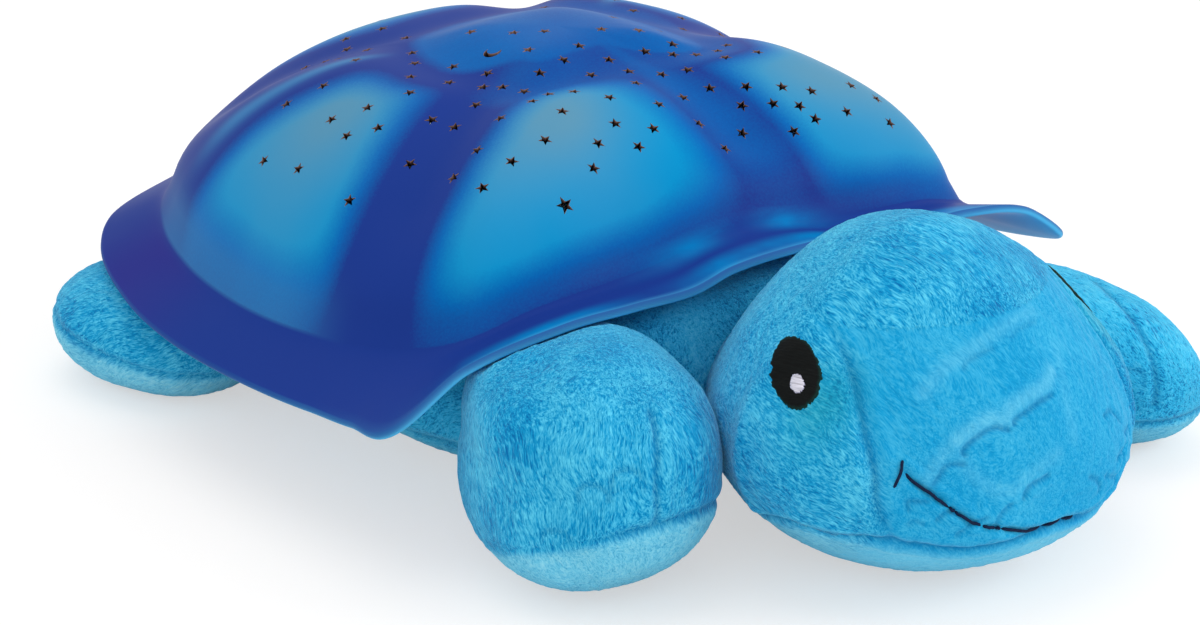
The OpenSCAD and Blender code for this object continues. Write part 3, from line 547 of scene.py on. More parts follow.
def groove_distance(azimuth, s):
    """Distance from the nearest groove, with soft corners where grooves meet."""
    r = along_table(CREASE_TABLE, azimuth)[:, 0]
    total = np.exp(-np.abs(s - GROOVE_AT) * r / GROOVE_CORNER)
    for g in GROOVES:
        away = turn_from(azimuth, g)
        near = (np.abs(away) < 90) & (s >= GROOVE_AT)
        total = total + near * np.exp(-np.abs(s * r * np.sin(np.radians(away))) / GROOVE_CORNER)
    return np.maximum(0, -GROOVE_CORNER * np.log(total))


def scute_lift(azimuth, s):
    d = groove_distance(azimuth, s) / SCUTE_ROUND
    fade = 1 - smoothstep(0.80, 0.99, s)
    middle = np.where(s < GROOVE_AT, 0.8, 1)
    return fade * (SCUTE_BULGE * middle * (1 - np.exp(-d * d)) - GROOVE_DIP)


def upward(v):
    return np.where(v[:, 2:] < 0, -v, v)


def dome_normal(azimuth, s):
    n = np.cross(smooth_dome(azimuth, np.minimum(1, s + 0.01)) - smooth_dome(azimuth, s - 0.01),
                 smooth_dome(azimuth + 0.5, s) - smooth_dome(azimuth - 0.5, s))
    n[s < 0.01] = [0, 0, 1]
    return upward(unit(n))


def shell_point(azimuth, v):
    """The outer surface: v runs from 0 at the apex to 1 at the crease and 2 at the brim's edge."""
    s = np.clip(v, 0, 1)
    dome = smooth_dome(azimuth, np.maximum(s, 0.011)) * (s[:, None] > 0) + APEX * (s[:, None] <= 0)
    dome = dome + dome_normal(azimuth, np.clip(s, 0.011, 1)) * scute_lift(azimuth, s)[:, None]
    c = outline_point(CREASE_TABLE, azimuth)
    return np.where(v[:, None] > 1, c + (outline_point(BRIM_TABLE, azimuth) - c) * (v[:, None] - 1), dome)


def shell_frame(azimuth, v):
    """A place on the shell and its outward normal."""
    a = np.array([azimuth], float)
    w = np.array([v], float)
    p = shell_point(a, w)[0]
    n = upward(unit(np.cross(shell_point(a, w + 0.02) - shell_point(a, w - 0.02),
                             shell_point(a + 0.5, w) - shell_point(a - 0.5, w))))[0]
    return p, n


def shell_azimuths():
    """Azimuths round the shell, BRIM_STEP apart along the brim's edge."""
    half = []
    for a, b in zip(BRIM_TABLE[:-1], BRIM_TABLE[1:]):
        pa, pb = outline_point(BRIM_TABLE, np.array([a[0], b[0]]))
        count = max(2, math.ceil(np.linalg.norm(pa - pb) / BRIM_STEP))
        half += list(np.linspace(a[0], b[0], count, endpoint=False))
    return np.array(half + [180.0] + [-a for a in half[:0:-1]])


def shell_profiles(azimuths):
    """Rows of the outer surface from near the apex to the brim's edge, with the crease rounded."""
    count = len(azimuths)
    v = np.concatenate([np.linspace(0, 1, DOME_ROWS + 1)[1:], 1 + np.linspace(0, 1, BRIM_ROWS + 1)[1:]])
    rows = np.array([shell_point(azimuths, np.full(count, x)) for x in v])
    # Softening along each profile, strongest at the crease
    steps = np.linalg.norm(np.diff(rows, axis=0), axis=2)
    place = np.concatenate([np.zeros((1, count)), np.cumsum(steps, axis=0)])
    out = rows.copy()
    for j in range(2, len(v) - 1):
        near = bell(place[j] - place[DOME_ROWS - 1], 2.2 * CREASE_ROUND)
        if near.max() < 0.02:
            continue
        weight = np.exp(-0.5 * ((place - place[j]) / CREASE_ROUND) ** 2) * np.gradient(place, axis=0)
        mean = (rows * weight[..., None]).sum(0) / weight.sum(0)[:, None]
        out[j] = rows[j] + (mean - rows[j]) * near[:, None]
    return v, out


# Places of the holes, as azimuth from the front and share of the way from the apex to the crease
STARS = [[-97, 0.69], [-91, 0.62], [-88, 0.71], [-82, 0.66], [-93, 0.82], [-104, 0.84], [-76, 0.84],
         [-72, 0.57], [-65, 0.56], [-69, 0.71], [-57, 0.73], [-54, 0.65], [-50, 0.77], [-46, 0.71],
         [-52, 0.53], [-45, 0.46], [-64, 0.46], [-36, 0.57], [-40, 0.67], [-30, 0.80], [-28, 0.73],
         [-22, 0.68], [-18, 0.78], [-12, 0.74], [6, 0.85], [-5, 0.65], [4, 0.75], [-20, 0.56],
         [-40, 0.43], [-31, 0.46], [-86, 0.52], [-97, 0.46], [-111, 0.40], [-124, 0.38], [-83, 0.41],
         [-95, 0.34], [-68, 0.38], [-73, 0.32], [-60, 0.36], [-50, 0.37], [-46, 0.29], [-19, 0.36],
         [2, 0.40], [14, 0.46], [24, 0.48], [-4, 0.50], [9, 0.61], [20, 0.60], [27, 0.65], [33, 0.69],
         [21, 0.71], [27, 0.74], [15, 0.80], [25, 0.84], [31, 0.82], [38, 0.82], [44, 0.87], [31, 0.77],
         [37, 0.73], [48, 0.80], [47, 0.74], [0, 0.30], [-33, 0.25], [-15, 0.19], [-60, 0.19], [28, 0.30],
         [35, 0.35], [40, 0.39], [47, 0.41], [38, 0.48], [55, 0.43], [46, 0.51], [-129, 0.22],
         [-105, 0.13], [-75, 0.06], [40, 0.12], [50, 0.20], [45, 0.30], [74, 0.47]]
FLANK_STARS = [[-135, 0.72], [-140, 0.66], [-138, 0.60], [-134, 0.56], [-144, 0.56], [-151, 0.60],
               [-138, 0.49], [-155, 0.52], [-146, 0.41], [-113, 0.63], [-115, 0.72], [-123, 0.52]]
LEFT_STARS = [[62, 0.60], [70, 0.68], [78, 0.58], [84, 0.72], [92, 0.64], [99, 0.54], [104, 0.78],
              [88, 0.46], [112, 0.45], [66, 0.78], [74, 0.86], [96, 0.86], [72, 0.30], [95, 0.22],
              [120, 0.30], [150, 0.26]]
BIG_STAR = [-36, 0.87]
MOON = [-85, 0.24]
ALL_STARS = STARS + FLANK_STARS + [[-a, s] for a, s in FLANK_STARS] + LEFT_STARS
STAR_R = 2.1
STAR_WAIST = 0.42
MOON_R = 2.6
HOLE_DEPTH = 12


def prism(outline, centre, normal, depth):
    """A cutter with the given outline, square to the surface and a quarter of its depth outside."""
    z = np.asarray(normal, float)
    x = unit(np.cross([0, 1, 0.01], z))
    y = np.cross(z, x)
    n = len(outline)
    flat = centre + np.outer(outline[:, 0], x) + np.outer(outline[:, 1], y)
    points = np.concatenate([flat - z * depth * 0.75, flat + z * depth * 0.25])
    faces = [list(range(n))[::-1], list(range(n, 2 * n))]
    faces += [[i, (i + 1) % n, n + (i + 1) % n, n + i] for i in range(n)]
    return points, faces


def star_outline(r, turn):
    k = np.arange(10)
    radius = np.where(k % 2 == 0, r, STAR_WAIST * r)
    return round_points(radius, np.radians(turn + 36 * k))


def moon_outline(r):
    """A crescent: an outer arc and a smaller inner one, from horn to horn."""
    centre, inner = np.array([0.45, 0.2]) * r, 0.82 * r
    gap = np.linalg.norm(centre)
    toward = math.atan2(centre[1], centre[0])
    half = math.acos((r ** 2 + gap ** 2 - inner ** 2) / (2 * r * gap))
    outer = np.linspace(toward + half, toward + 2 * math.pi - half, 26)
    horn = math.acos((inner ** 2 + gap ** 2 - r ** 2) / (2 * inner * gap))
    back = np.linspace(toward + math.pi + horn, toward + math.pi - horn, 20)[1:-1]
    return np.concatenate([round_points(r, outer), centre + round_points(inner, back)])


# Middle of the pale area of each outer plate, partly sprayed paler and partly a painted highlight, its half
# width in degrees and its half height
PALE_AND_HIGHLIGHT_AREAS = [(-38, 0.60), (-97, 0.68), (48, 0.70), (118, 0.68), (-174, 0.66)]
PALE_AND_HIGHLIGHT_WIDTH = 18
PALE_AND_HIGHLIGHT_HEIGHT = 0.21
# How far down the dome the ring of deep blue lies at the front and elsewhere, and the middle of the front
RING_FRONT = 0.31
RING_SIDE = 0.43
FRONT = -26
# Half width of the spray that stays deep blue, and the length over which it fades to cyan
SPRAY_EDGE = 8
SPRAY_FADE = 17
SPRAY_ROUND = 4
HEAD_GROOVE = GROOVES[0]
REAR_GROOVE = GROOVES[3]


def shell_colours(azimuths, v):
    """How far each place of a row is sprayed towards cyan, and towards pale with a painted highlight, and
    the brim's tints with their painted highlights.
    """
    s = min(v, 1)
    r = along_table(CREASE_TABLE, azimuths)[:, 0]
    side = np.abs(azimuths)
    from_front = np.abs(turn_from(azimuths, FRONT))
    ring = RING_FRONT + (RING_SIDE - RING_FRONT) * smoothstep(30, 70, from_front)
    across = []
    for g in GROOVES:
        away = turn_from(azimuths, g)
        beside = np.where(np.abs(away) < 80, s * r * np.abs(np.sin(np.radians(away))), 200)
        beside = beside - SPRAY_EDGE - 4 * s
        if g == HEAD_GROOVE:
            beside = np.where(away < 0, beside * 0.65 + 3, beside)
        if g == REAR_GROOVE:
            beside = np.where(away > 0, beside - 26 * s, beside)
        across.append(beside)
    limits = [np.min(across, axis=0), (s - ring) * r - 5, (1.01 - v) * r * 1.5]
    outer = -SPRAY_ROUND * np.log(sum(np.exp(-limit / SPRAY_ROUND) for limit in limits))
    reach = np.where(s < ring, np.minimum((ring - s) * r - 5, 4), outer)
    plate = np.clip((reach + 3) / SPRAY_FADE, 0, 1)
    # The ring and the groove beside the head stay between the two blues
    groove = bell(turn_from(azimuths, HEAD_GROOVE), 16) * (0.37 - 0.1 * smoothstep(0.85, 0.98, s))
    near = smoothstep(-80, -55, azimuths) * smoothstep(175, 130, azimuths)
    around = 0.3 * (1 - smoothstep(0.42, 0.56, s)) * (0.4 + 0.6 * near)
    plate = np.maximum(plate, np.maximum(groove, around) * (v <= 1))
    # Pale middles of the plates, and the back of the top plate: partly paler spray, partly a painted
    # highlight
    pale = sum(np.exp(-(turn_from(azimuths, centre) / PALE_AND_HIGHLIGHT_WIDTH) ** 2 - ((s - down) / PALE_AND_HIGHLIGHT_HEIGHT) ** 2)
               for centre, down in PALE_AND_HIGHLIGHT_AREAS)
    far = smoothstep(90, 150, from_front) * smoothstep(0.02, 0.12, s) * (s < ring)
    pale = np.clip(pale * 0.95 * (s > ring) + 0.6 * far, 0, 0.9)
    # The brim's azure: partly spray, partly painted reflection streaks near the crease and painted highlight
    # near the front edge
    brim = bell(side - 13, 8) * smoothstep(1.45, 1.05, v)
    brim = np.maximum(brim, bell(side - 38, 9) * smoothstep(1.5, 1.85, v))
    brim = np.maximum(brim, smoothstep(26, 8, side) * smoothstep(1.4, 1.75, v)) * (v >= 1)
    purple = 0.75 * smoothstep(0.96, 1.2, v) * bell(side - 118, 13)
    # Painted highlight on the top of the brim's outer edge, brightest at the front
    lip = 0.3 * smoothstep(1.84, 2.0, v) * smoothstep(70, 30, side)
    # Painted highlights: light lines along the crease and along the ridge of the rear plate
    lip = lip + 0.22 * smoothstep(140, 120, side) * smoothstep(66, 84, side) * bell(v - 1.0, 0.03)
    rib_highlight = bell(side - 124, 3) * smoothstep(0.4, 0.55, s) * smoothstep(0.98, 0.8, s)
    lip = lip + 0.3 * rib_highlight * (v <= 1)
    return {"plate": plate, "pale": pale, "brim": brim, "purple": purple, "lip": lip, "deep": 0 * plate}


def carry_over(obj, points, data):
    """Gives a mesh the values that an earlier mesh had at its nearest points."""
    tree = KDTree(len(points))
    for i, p in enumerate(points):
        tree.insert(p, i)
    tree.balance()
    co = points_of(obj)
    hits = [tree.find_n(p, 3) for p in co]
    index = np.array([[hit[1] for hit in near] for near in hits])
    weight = 1 / (np.array([[hit[2] for hit in near] for near in hits]) + 0.01)
    weight /= weight.sum(1, keepdims=True)
    for key, values in data.items():
        set_attribute(obj, key, (values[index] * weight).sum(1))


def hole_outlines():
    """The frame on the shell, and the outline, of each star, the moon and each button's hole."""
    holes = [(shell_frame(a, s), star_outline(STAR_R, 41 * i)) for i, (a, s) in enumerate(ALL_STARS)]
    holes.append((shell_frame(*BIG_STAR), star_outline(1.3 * STAR_R, 20)))
    holes.append((shell_frame(*MOON), moon_outline(MOON_R)))
    for place, radius in BUTTONS.values():
        ring = round_points(radius + BUTTON_GAP, np.arange(48) * math.pi / 24)
        holes.append(((on_panel(*place), PANEL_NORMAL), ring))
    return holes


def shell_layers(azimuths, v, under):
    """The values of shell_colours for every row: the outer rows, the lip's and those underneath."""
    outer = [shell_colours(azimuths, x) for x in v]
    # Painted highlight on the edge's rows and on the underside near the edge, brightest at the front
    glow = 0.3 + 0.7 * smoothstep(90, 55, np.abs(azimuths))
    below_highlight_share = [max(0, 0.7 - 0.1 * i) for i in range(under)]
    data = {}
    for key in outer[0]:
        # Underneath: a middle blue, and the full painted shade of the hole walls through deep
        inner = {"plate": 0.5, "deep": 1.0}.get(key, 0.0)
        layers = [row[key] for row in outer]
        if key == "lip":
            layers += [glow * share for share in LIP_HIGHLIGHT_SHARE + below_highlight_share]
        else:
            layers += [0 * azimuths] * len(LIP_HIGHLIGHT_SHARE) + [0 * azimuths + inner] * under
        data[key] = np.append(np.concatenate(layers), [outer[0][key].mean(), inner])
    return data


def bare_walls(shell, holes):
    """Gives the walls of the holes the second material, bare plastic."""
    centres = np.array([f.center for f in shell.data.polygons]) / MM
    facing = np.array([f.normal for f in shell.data.polygons])
    index = np.zeros(len(centres), np.int32)
    for (p, n), ring in holes:
        away = centres - p
        height = away @ n
        radial = np.linalg.norm(away - np.outer(height, n), axis=1)
        reach = np.linalg.norm(ring, axis=1).max() * 1.02
        index[(radial < reach) & (np.abs(height) < HOLE_DEPTH / 2) & (np.abs(facing @ n) < 0.3)] = 1
    shell.data.polygons.foreach_set("material_index", index)


def make_shell():
    azimuths = shell_azimuths()
    count = len(azimuths)
    v, rows = shell_profiles(azimuths)
    down = np.gradient(rows, axis=0)
    around = np.roll(rows, -1, axis=1) - np.roll(rows, 1, axis=1)
    normal = upward(unit(np.cross(down.reshape(-1, 3), around.reshape(-1, 3)))).reshape(rows.shape)
    half = WALL / 2
    edge = rows[-1].copy()
    out = unit(rows[-1] - rows[-2])
    lip = [edge - normal[-1] * half * (1 - math.cos(a)) + out * half * (math.sin(a) - LIP_SETBACK)
           for a in np.linspace(0, math.pi, len(LIP_HIGHLIGHT_SHARE) + 2)[1:-1]]
    rows[-1] = edge - out * half * LIP_SETBACK
    under_rows = list(range(len(v) - 1, 20, -2)) + [12, 5, 0]
    under = [rows[j] - normal[j] * WALL for j in under_rows]
    grid = np.concatenate([rows, np.array(lip), np.array(under)])
    top = APEX + [0, 0, scute_lift(np.zeros(1), np.zeros(1))[0]]
    points = np.concatenate([grid.reshape(-1, 3), [top, top - [0, 0, WALL]]])
    total = grid.shape[0] * count
    faces = [list(f) for f in grid_faces(grid.shape[0], count)]
    faces += [[total, (i + 1) % count, i] for i in range(count)]
    faces += [[total + 1, total - count + i, total - count + (i + 1) % count] for i in range(count)]
    shell = make_object("dressed_shell", points, faces, [shell_paint(), hole_wall()])
    mend_normals(shell)
    holes = hole_outlines()
    cutters = [prism(ring, p, n, HOLE_DEPTH) for (p, n), ring in holes]
    cut(shell, [make_object("cutter", *join_parts(cutters), [])])
    bare_walls(shell, holes)
    sharp_by_angle(shell, 40)
    carry_over(shell, points, shell_layers(azimuths, v, len(under)))
    return settle(shell, "shell_plastic", "shell_cover")


def sharp_by_angle(obj, degrees):
    """Marks the edges that bend more than this as sharp, and shades the rest smooth."""
    work = bmesh.new()
    work.from_mesh(obj.data)
    limit = math.radians(degrees)
    for edge in work.edges:
        edge.smooth = len(edge.link_faces) != 2 or edge.calc_face_angle(0) < limit
    for face in work.faces:
        face.smooth = True
    work.to_mesh(obj.data)
    work.free()


def settle(obj, slot, *nodes, body=BODY):
    """Puts a finished piece on its body, in place of the CAD nodes it stands for."""
    if nodes:
        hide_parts(*nodes)
    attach(obj, body)
    return obj


# ---- button panel
PANEL_V = 0.87
PANEL_TILT = math.radians(47)
PANEL_NORMAL = np.array([0, math.sin(PANEL_TILT), math.cos(PANEL_TILT)])
PANEL_UP = np.array([0, math.cos(PANEL_TILT), -math.sin(PANEL_TILT)])
PANEL_AT = shell_point(np.array([180.0]), np.array([PANEL_V]))[0]
BUTTON_GAP = 0.25
# Place on the panel and radius of each button
BUTTONS = {"power_button": ((0, -8), 6), "amber_button": ((-15, 7), 4.8), "green_button": ((0, 7), 4.8),
           "blue_button": ((15, 7), 4.8)}


def on_panel(x, y):
    return PANEL_AT + np.array([x, 0, 0]) + PANEL_UP * y


# ---- plush
# Gap between soft pieces, height of the pile's tufts, and how soft pieces flatten on the floor
SOFT_GAP = 0.35
TUFT = 0.16
FLOOR_LEVEL = 0.25
FLOOR_BEND = 1.2


def finish_plush(obj, slot, *nodes, fill=0.8):
    settle(obj, slot, *nodes)
    return obj


def set_pile(obj, **values):
    """Sets what plush_fabric reads from a mesh: seam, sole, teal and short, each 0 where it isn't given."""
    for key in ("seam", "sole", "teal", "short"):
        set_attribute(obj, key, values.get(key, np.zeros(len(obj.data.vertices))))


def stuff(points, normals, seed, pile, lump=0.6):
    """Displacement of stuffed plush: soft lumps, and tufts of pile that lie along a direction."""
    lay = np.array(pile, float) / np.linalg.norm(pile)
    swirled = points + 4 * np.stack([noise(points, 22, seed + k) for k in (11, 12, 13)], 1)
    squeezed = swirled - np.outer(swirled @ lay, lay) * 0.6
    soft = lump * (noise(points, 26, seed) + 0.5 * noise(points, 11, seed + 1))
    hair = TUFT * (noise(squeezed, 1.3, seed + 2) + 0.8 * noise(squeezed, 0.8, seed + 3))
    return normals * (soft + hair)[:, None]


def skin_tree(points, quads):
    return BVHTree.FromPolygons([Vector(p * MM) for p in points], [list(map(int, q)) for q in quads])


def on_front(tree, places):
    """The points of a skin behind places (x, z) of the front view."""
    hits = [tree.ray_cast(Vector((x, -200, z)) * MM, Vector((0, 1, 0)))[0] for x, z in places]
    return np.array(hits) / MM


def hit_skin(hits, outward):
    """Places of hits on a skin, and its normals there, turned to the outer side."""
    normals = np.array([hit[1] for hit in hits])
    return np.array([hit[0] for hit in hits]) / MM, normals * np.sign(normals @ outward)[:, None]


def along_skin(value, gradient, normals):
    """Distance along a skin to where a value is zero, from the value's gradient in space."""
    g = np.broadcast_to(np.asarray(gradient, float), normals.shape)
    flat = g - (g * normals).sum(1)[:, None] * normals
    return np.abs(value) / np.maximum(np.linalg.norm(flat, axis=1), 0.25)


def mend_normals(obj):
    work = bmesh.new()
    work.from_mesh(obj.data)
    bmesh.ops.recalc_face_normals(work, faces=work.faces)
    work.to_mesh(obj.data)
    work.free()
    obj.data.update()


def soft_floor(z):
    """Heights that flatten softly where they meet the floor."""
    over = z - FLOOR_LEVEL
    return FLOOR_LEVEL + 0.5 * (over + np.sqrt(over ** 2 + FLOOR_BEND ** 2))


def hill(points, middle, size):
    """A smooth bump of height 1 round a place in space, of a size or of one size along each axis."""
    return np.exp(-(((points - middle) / size) ** 2).sum(1))


def stroke_on(tree, places, steps=5):
    """The smooth line through places (x, z) of the front view, on a skin."""
    return rounded_path(on_front(tree, places), steps)


def groove_line(points, path, depth):
    """A narrow stitched groove with a puffed edge below it."""
    near = distance_to_stroke(points, path)
    puff = 0.35 * bell(distance_to_stroke(points, path + [0.4, -0.4, -1.8]), 1.3)
    return depth * (puff - bell(near, 0.75)), bell(near, 0.7)


HEAD_W = 118
# Sections of the head from neck to nose: y, width as a share of HEAD_W, top and bottom
HEAD = [[-54, 0.42, 50, 18], [-57, 0.45, 53, 16], [-62, 0.51, 58.5, 11], [-68, 0.60, 66, 7.5],
        [-77, 0.72, 75, 5], [-88, 0.86, 84, 2.5], [-100, 0.95, 88.5, 0.5], [-112, 1, 89.5, 0],
        [-123, 0.98, 85, 0.8], [-133, 0.92, 78, 2.8], [-142, 0.82, 69, 5.5], [-150, 0.68, 59.5, 9],
        [-156, 0.52, 51, 13], [-160, 0.34, 43, 18], [-161.7, 0.16, 36.5, 23], [-162, 0.0, 30, 30]]
HEAD_TAPER = 0.3
CHIN_Z = 21.5
# Middle and size of the puffed cheek on the right side, which the left one mirrors
CHEEK = ((-52, -124, 40), (12, 14, 13))
# Added to a seam's distance, in millimetres, where the seam has ended
OFF = 30
# The seam between cheek and muzzle on the right side, from over the eye down to the jaw
CHEEK_SEAM = [(-36, -106, 75), (-38, -122, 69), (-40, -131, 61), (-43, -138, 51), (-44, -143, 42),
              (-45, -145, 35), (-43, -147, 27), (-41, -147, 22)]
# Stitched wrinkles of the nose and cheeks, as places (x, z) of the front view, with their depth in mm
WRINKLES = [
    (0.7, [(-9, 50), (-8, 51), (-4, 52), (0, 53), (6, 53.5)]),
    (0.7, [(-24, 45), (-24, 46), (-21, 48), (-15, 50), (-11, 49)]),
    (0.4, [(-16, 63), (-15, 64), (-12, 65), (-6, 66)]),
    (0.3, [(1, 67), (5, 68), (12, 68)]),
    (0.6, [(-33, 39), (-31, 41), (-29, 43), (-25, 43)]),
    (0.7, [(-10, 32), (-9, 34), (-7, 35), (-2, 36)]),
    (0.6, [(-39, 33), (-39, 35), (-37, 35), (-35, 35)]),
    (0.6, [(-33, 30), (-32, 31), (-31, 32), (-28, 31)]),
    (0.6, [(-18, 26), (-18, 28), (-16, 30), (-14, 31)]),
    (0.5, [(-28, 25), (-26, 27), (-21, 29)]),
    (0.4, [(-39, 29), (-38, 30), (-36, 29)])]
# Soft raised lines between the patches of the muzzle, each also painted lighter as a painted highlight
RIDGES = [
    (0.7, [(-28, 59), (-20, 64), (-15, 65.5), (-9, 67.5), (-2, 69), (5, 70), (12, 70)]),
    (1.2, [(-25, 48), (-21, 50), (-15, 52), (-11, 51.5), (-8, 53.5), (-2, 55), (5, 56), (9, 58)]),
    (0.5, [(-26, 47), (-25, 44), (-23, 40), (-19, 36.5), (-14, 35), (-9, 37), (-4, 39), (2, 41)]),
    (0.7, [(-28, 46), (-31, 43.5), (-34, 40)]),
    (0.4, [(15, 62), (12, 56), (10, 50), (9, 43)])]
HEAD_PILE = (0.2, -1, -0.5)


def head_surface(directions):
    """Points of the head for directions from its middle."""
    table = rounded_path(HEAD, 8)
    steps = np.linalg.norm(np.diff(np.stack([table[:, 0], table[:, 1] * HEAD_W / 2], 1), axis=0), axis=1)
    place = np.concatenate([[0], np.cumsum(steps)])
    share = np.arcsin(np.clip(-directions[:, 1], -1, 1)) / math.pi + 0.5
    y, width, top, bottom = [np.interp(share * place[-1], place, table[:, k]) for k in range(4)]
    angle = np.arctan2(directions[:, 2], directions[:, 0])
    up = signed_power(np.sin(angle), 2 / 2.05)
    slim = 1 - HEAD_TAPER * (np.maximum(0, up + 0.3) / 1.3) ** 1.5
    x = np.maximum(width, 0) * HEAD_W / 2 * signed_power(np.cos(angle), 2 / 2.05) * slim
    z = (top + bottom) / 2 + up * (top - bottom) / 2
    return np.stack([x, y, z], 1)


def head_seams(points, n):
    """Rise, darkness and lightness from the seams of muzzle and jaw, and the side of the muzzle."""
    side = np.abs(points[:, 0])
    z = points[:, 2]
    front = smoothstep(-100, -118, points[:, 1])
    right_half = np.stack([-side, points[:, 1], z], 1)
    muzzle = distance_to_stroke(right_half, rounded_path(CHEEK_SEAM, 5)) + 1.2 * smoothstep(62, 74, z)
    jaw_z = CHIN_Z - 2 * smoothstep(2, 16, side) + 5 * smoothstep(22, 48, side)
    jaw_z = jaw_z - 3 * smoothstep(-126, -104, points[:, 1])
    jaw = along_skin(z - jaw_z, (0, 0, 1), n) + OFF * smoothstep(-98, -84, points[:, 1])
    rise = dent(muzzle, 1.2, 1.4) + dent(jaw, 1.1, 1.2)
    # The puffed rim of the cheek, the cheek itself and the hollow round the eye
    behind = side - 44 + 6 * smoothstep(50, 72, z)
    rise = rise + 1.3 * bell(behind * front - 5, 3.5) * (z > 24)
    rise = rise + 1.8 * hill(right_half, *CHEEK)
    rise = rise - 1.2 * sum(hill(points, c, 13) for c in EYE_CENTRES)
    seam = bell(muzzle, 0.9) * 0.5 + bell(jaw, 0.8) * 0.65
    short = smoothstep(2, -3, behind) * front * (z < 72)
    return rise, seam, smoothstep(0.5, 3.5, jaw_z - z) * 0.75, short


def make_head():
    """The head, and the tree of its sculpted skin under the pile."""
    directions, quads = sphere_grid(122)
    points = head_surface(directions)
    tree = skin_tree(points, quads)
    head = make_object("stuffed_head", points, quads, plush_fabric("head_plush", HEAD_PILE))
    mend_normals(head)
    n = normals_of(head)
    rise, seam, light, short = head_seams(points, n)
    mirrored = points * [-1, 1, 1]
    for depth, places in WRINKLES:
        path = stroke_on(tree, places)
        for where in [points, mirrored] if path[:, 0].max() < -13 else [points]:
            lift, groove = groove_line(where, path, depth)
            rise = rise + lift
            # Wrinkles get the seam's darkness: painted shade in their creases
            seam = np.maximum(seam, min(1, 0.7 * depth) * groove)
    for height, places in RIDGES:
        ridge = bell(distance_to_stroke(points, stroke_on(tree, places)), 2.1)
        rise = rise + 0.2 * height * ridge
        # Painted highlight along each raised ridge
        light = np.maximum(light, 0.36 * height * ridge)
    for places in (MOUTH, FAR_MOUTH):
        rise = rise + dent(distance_to_stroke(points, stroke_on(tree, places, 6)), 0.7, 0.9, 0.4)
    sculpted = points + n * rise[:, None]
    skin = skin_tree(sculpted, quads)
    finished = sculpted + stuff(points, n, 3, HEAD_PILE, 0.45)
    finished[:, 2] = soft_floor(finished[:, 2])
    set_points(head, finished)
    teal = sum(hill(points, c + [0, -9, -7], [14, 8, 10]) for c in EYE_CENTRES)
    # sole on the head holds the lighter jaw panel and the painted highlight of the ridges
    data = {"seam": np.clip(seam, 0, 1), "sole": light, "teal": np.clip(teal, 0, 1), "short": short}
    cut(head, [trunk_form("cutter", SOFT_GAP)])
    carry_over(head, finished, data)
    finish_plush(head, "plush", "plush_head")
    return skin


def blob_points(directions, centre, half, turn=0, power=0.95, lean=0):
    """A stuffed form, squarer as the power goes down."""
    p = signed_power(directions, power) * half
    t = math.radians(turn)
    x = p[:, 0] * math.cos(t) - p[:, 1] * math.sin(t)
    y = p[:, 0] * math.sin(t) + p[:, 1] * math.cos(t)
    return np.array(centre) + np.stack([x, y, p[:, 2] - lean * x], 1)


def under_brim(p):
    """Height of the space under the shell's brim, and free height outside it."""
    azimuth, out = polar(p)
    crease = along_table(CREASE_TABLE, azimuth)
    brim = along_table(BRIM_TABLE, azimuth)
    share = (out - crease[:, 0]) / (brim[:, 0] - crease[:, 0])
    height = crease[:, 1] + (brim[:, 1] - crease[:, 1]) * np.clip(share, 0, 1) - 1.2 * WALL - 0.9
    return height + np.maximum(0, out - brim[:, 0] - 1)


def plush_blob(name, detail, form, seams, sole, node, pile, seed, scales=(), dark=0.6, swell=None,
               base=PLUSH, beside_head=False):
    """A stuffed limb. seams, sole and swell are functions of its points.

    scales are embossed arcs, as (x, z, radius) of the front view.
    """
    directions, quads = sphere_grid(detail)
    points = blob_points(directions, **form)
    limb = make_object(name, points, quads, plush_fabric(name + "_plush", pile, base))
    mend_normals(limb)
    n = normals_of(limb)
    tree = skin_tree(points, quads)
    rise = np.zeros(len(points))
    seam = np.zeros(len(points))
    light = smoothstep(0.3, 3, sole(points)) * 0.9
    for distance in seams(points, n):
        rise += dent(distance, 0.65, 1.2)
        seam = np.maximum(seam, bell(distance, 1.0) * dark)
    angle = np.radians(np.linspace(195, -15, 12))
    for x, z, radius in scales:
        arc = on_front(tree, round_points(radius, angle) + [x, z])
        lift, groove = groove_line(points, arc, 0.5)
        rise += lift
        # Embossed arcs are darkened: painted shade in their grooves
        seam = np.maximum(seam, 0.3 * groove)
    if swell:
        rise += swell(points)
    finished = points + n * rise[:, None] + stuff(points, n, seed, pile, 0.75)
    finished[:, 2] = soft_floor(finished[:, 2])
    if swell:
        finished[:, 2] = np.minimum(finished[:, 2], np.maximum(under_brim(finished), points[:, 2] - 1))
    set_points(limb, finished)
    neighbours = [trunk_form, head_form] if beside_head else [trunk_form]
    cut(limb, [neighbour("cutter", SOFT_GAP) for neighbour in neighbours])
    nothing = np.zeros(len(points))
    carry_over(limb, finished, {"seam": seam, "sole": light, "teal": nothing, "short": nothing})
    return finish_plush(limb, "plush", node)


def right_sole(p):
    """How far a point lies under the seam of the right flipper's sole."""
    return 27 - 0.33 * (p[:, 1] + 108) - p[:, 2]


def right_seams(p, n):
    ridge = p[:, 0] + 84.5 - 7 * smoothstep(36, 58, p[:, 2])
    return [along_skin(right_sole(p), (0, -0.33, -1), n) + 1.5 * smoothstep(-90, -104, p[:, 0]),
            along_skin(ridge, (1, 0, -0.2), n) + OFF * smoothstep(-98, -86, p[:, 1])
            + OFF * (right_sole(p) > -0.5)]


def right_shoulder(p):
    """Stuffing that presses the right flipper up against the shell."""
    left = -0.78 * (p[:, 0] + 76.5) + 0.63 * (p[:, 1] + 71)
    return smoothstep(34, 50, p[:, 2]) * (3.5 * smoothstep(-25, 5, left) + 2.5 * smoothstep(8, 24, left))


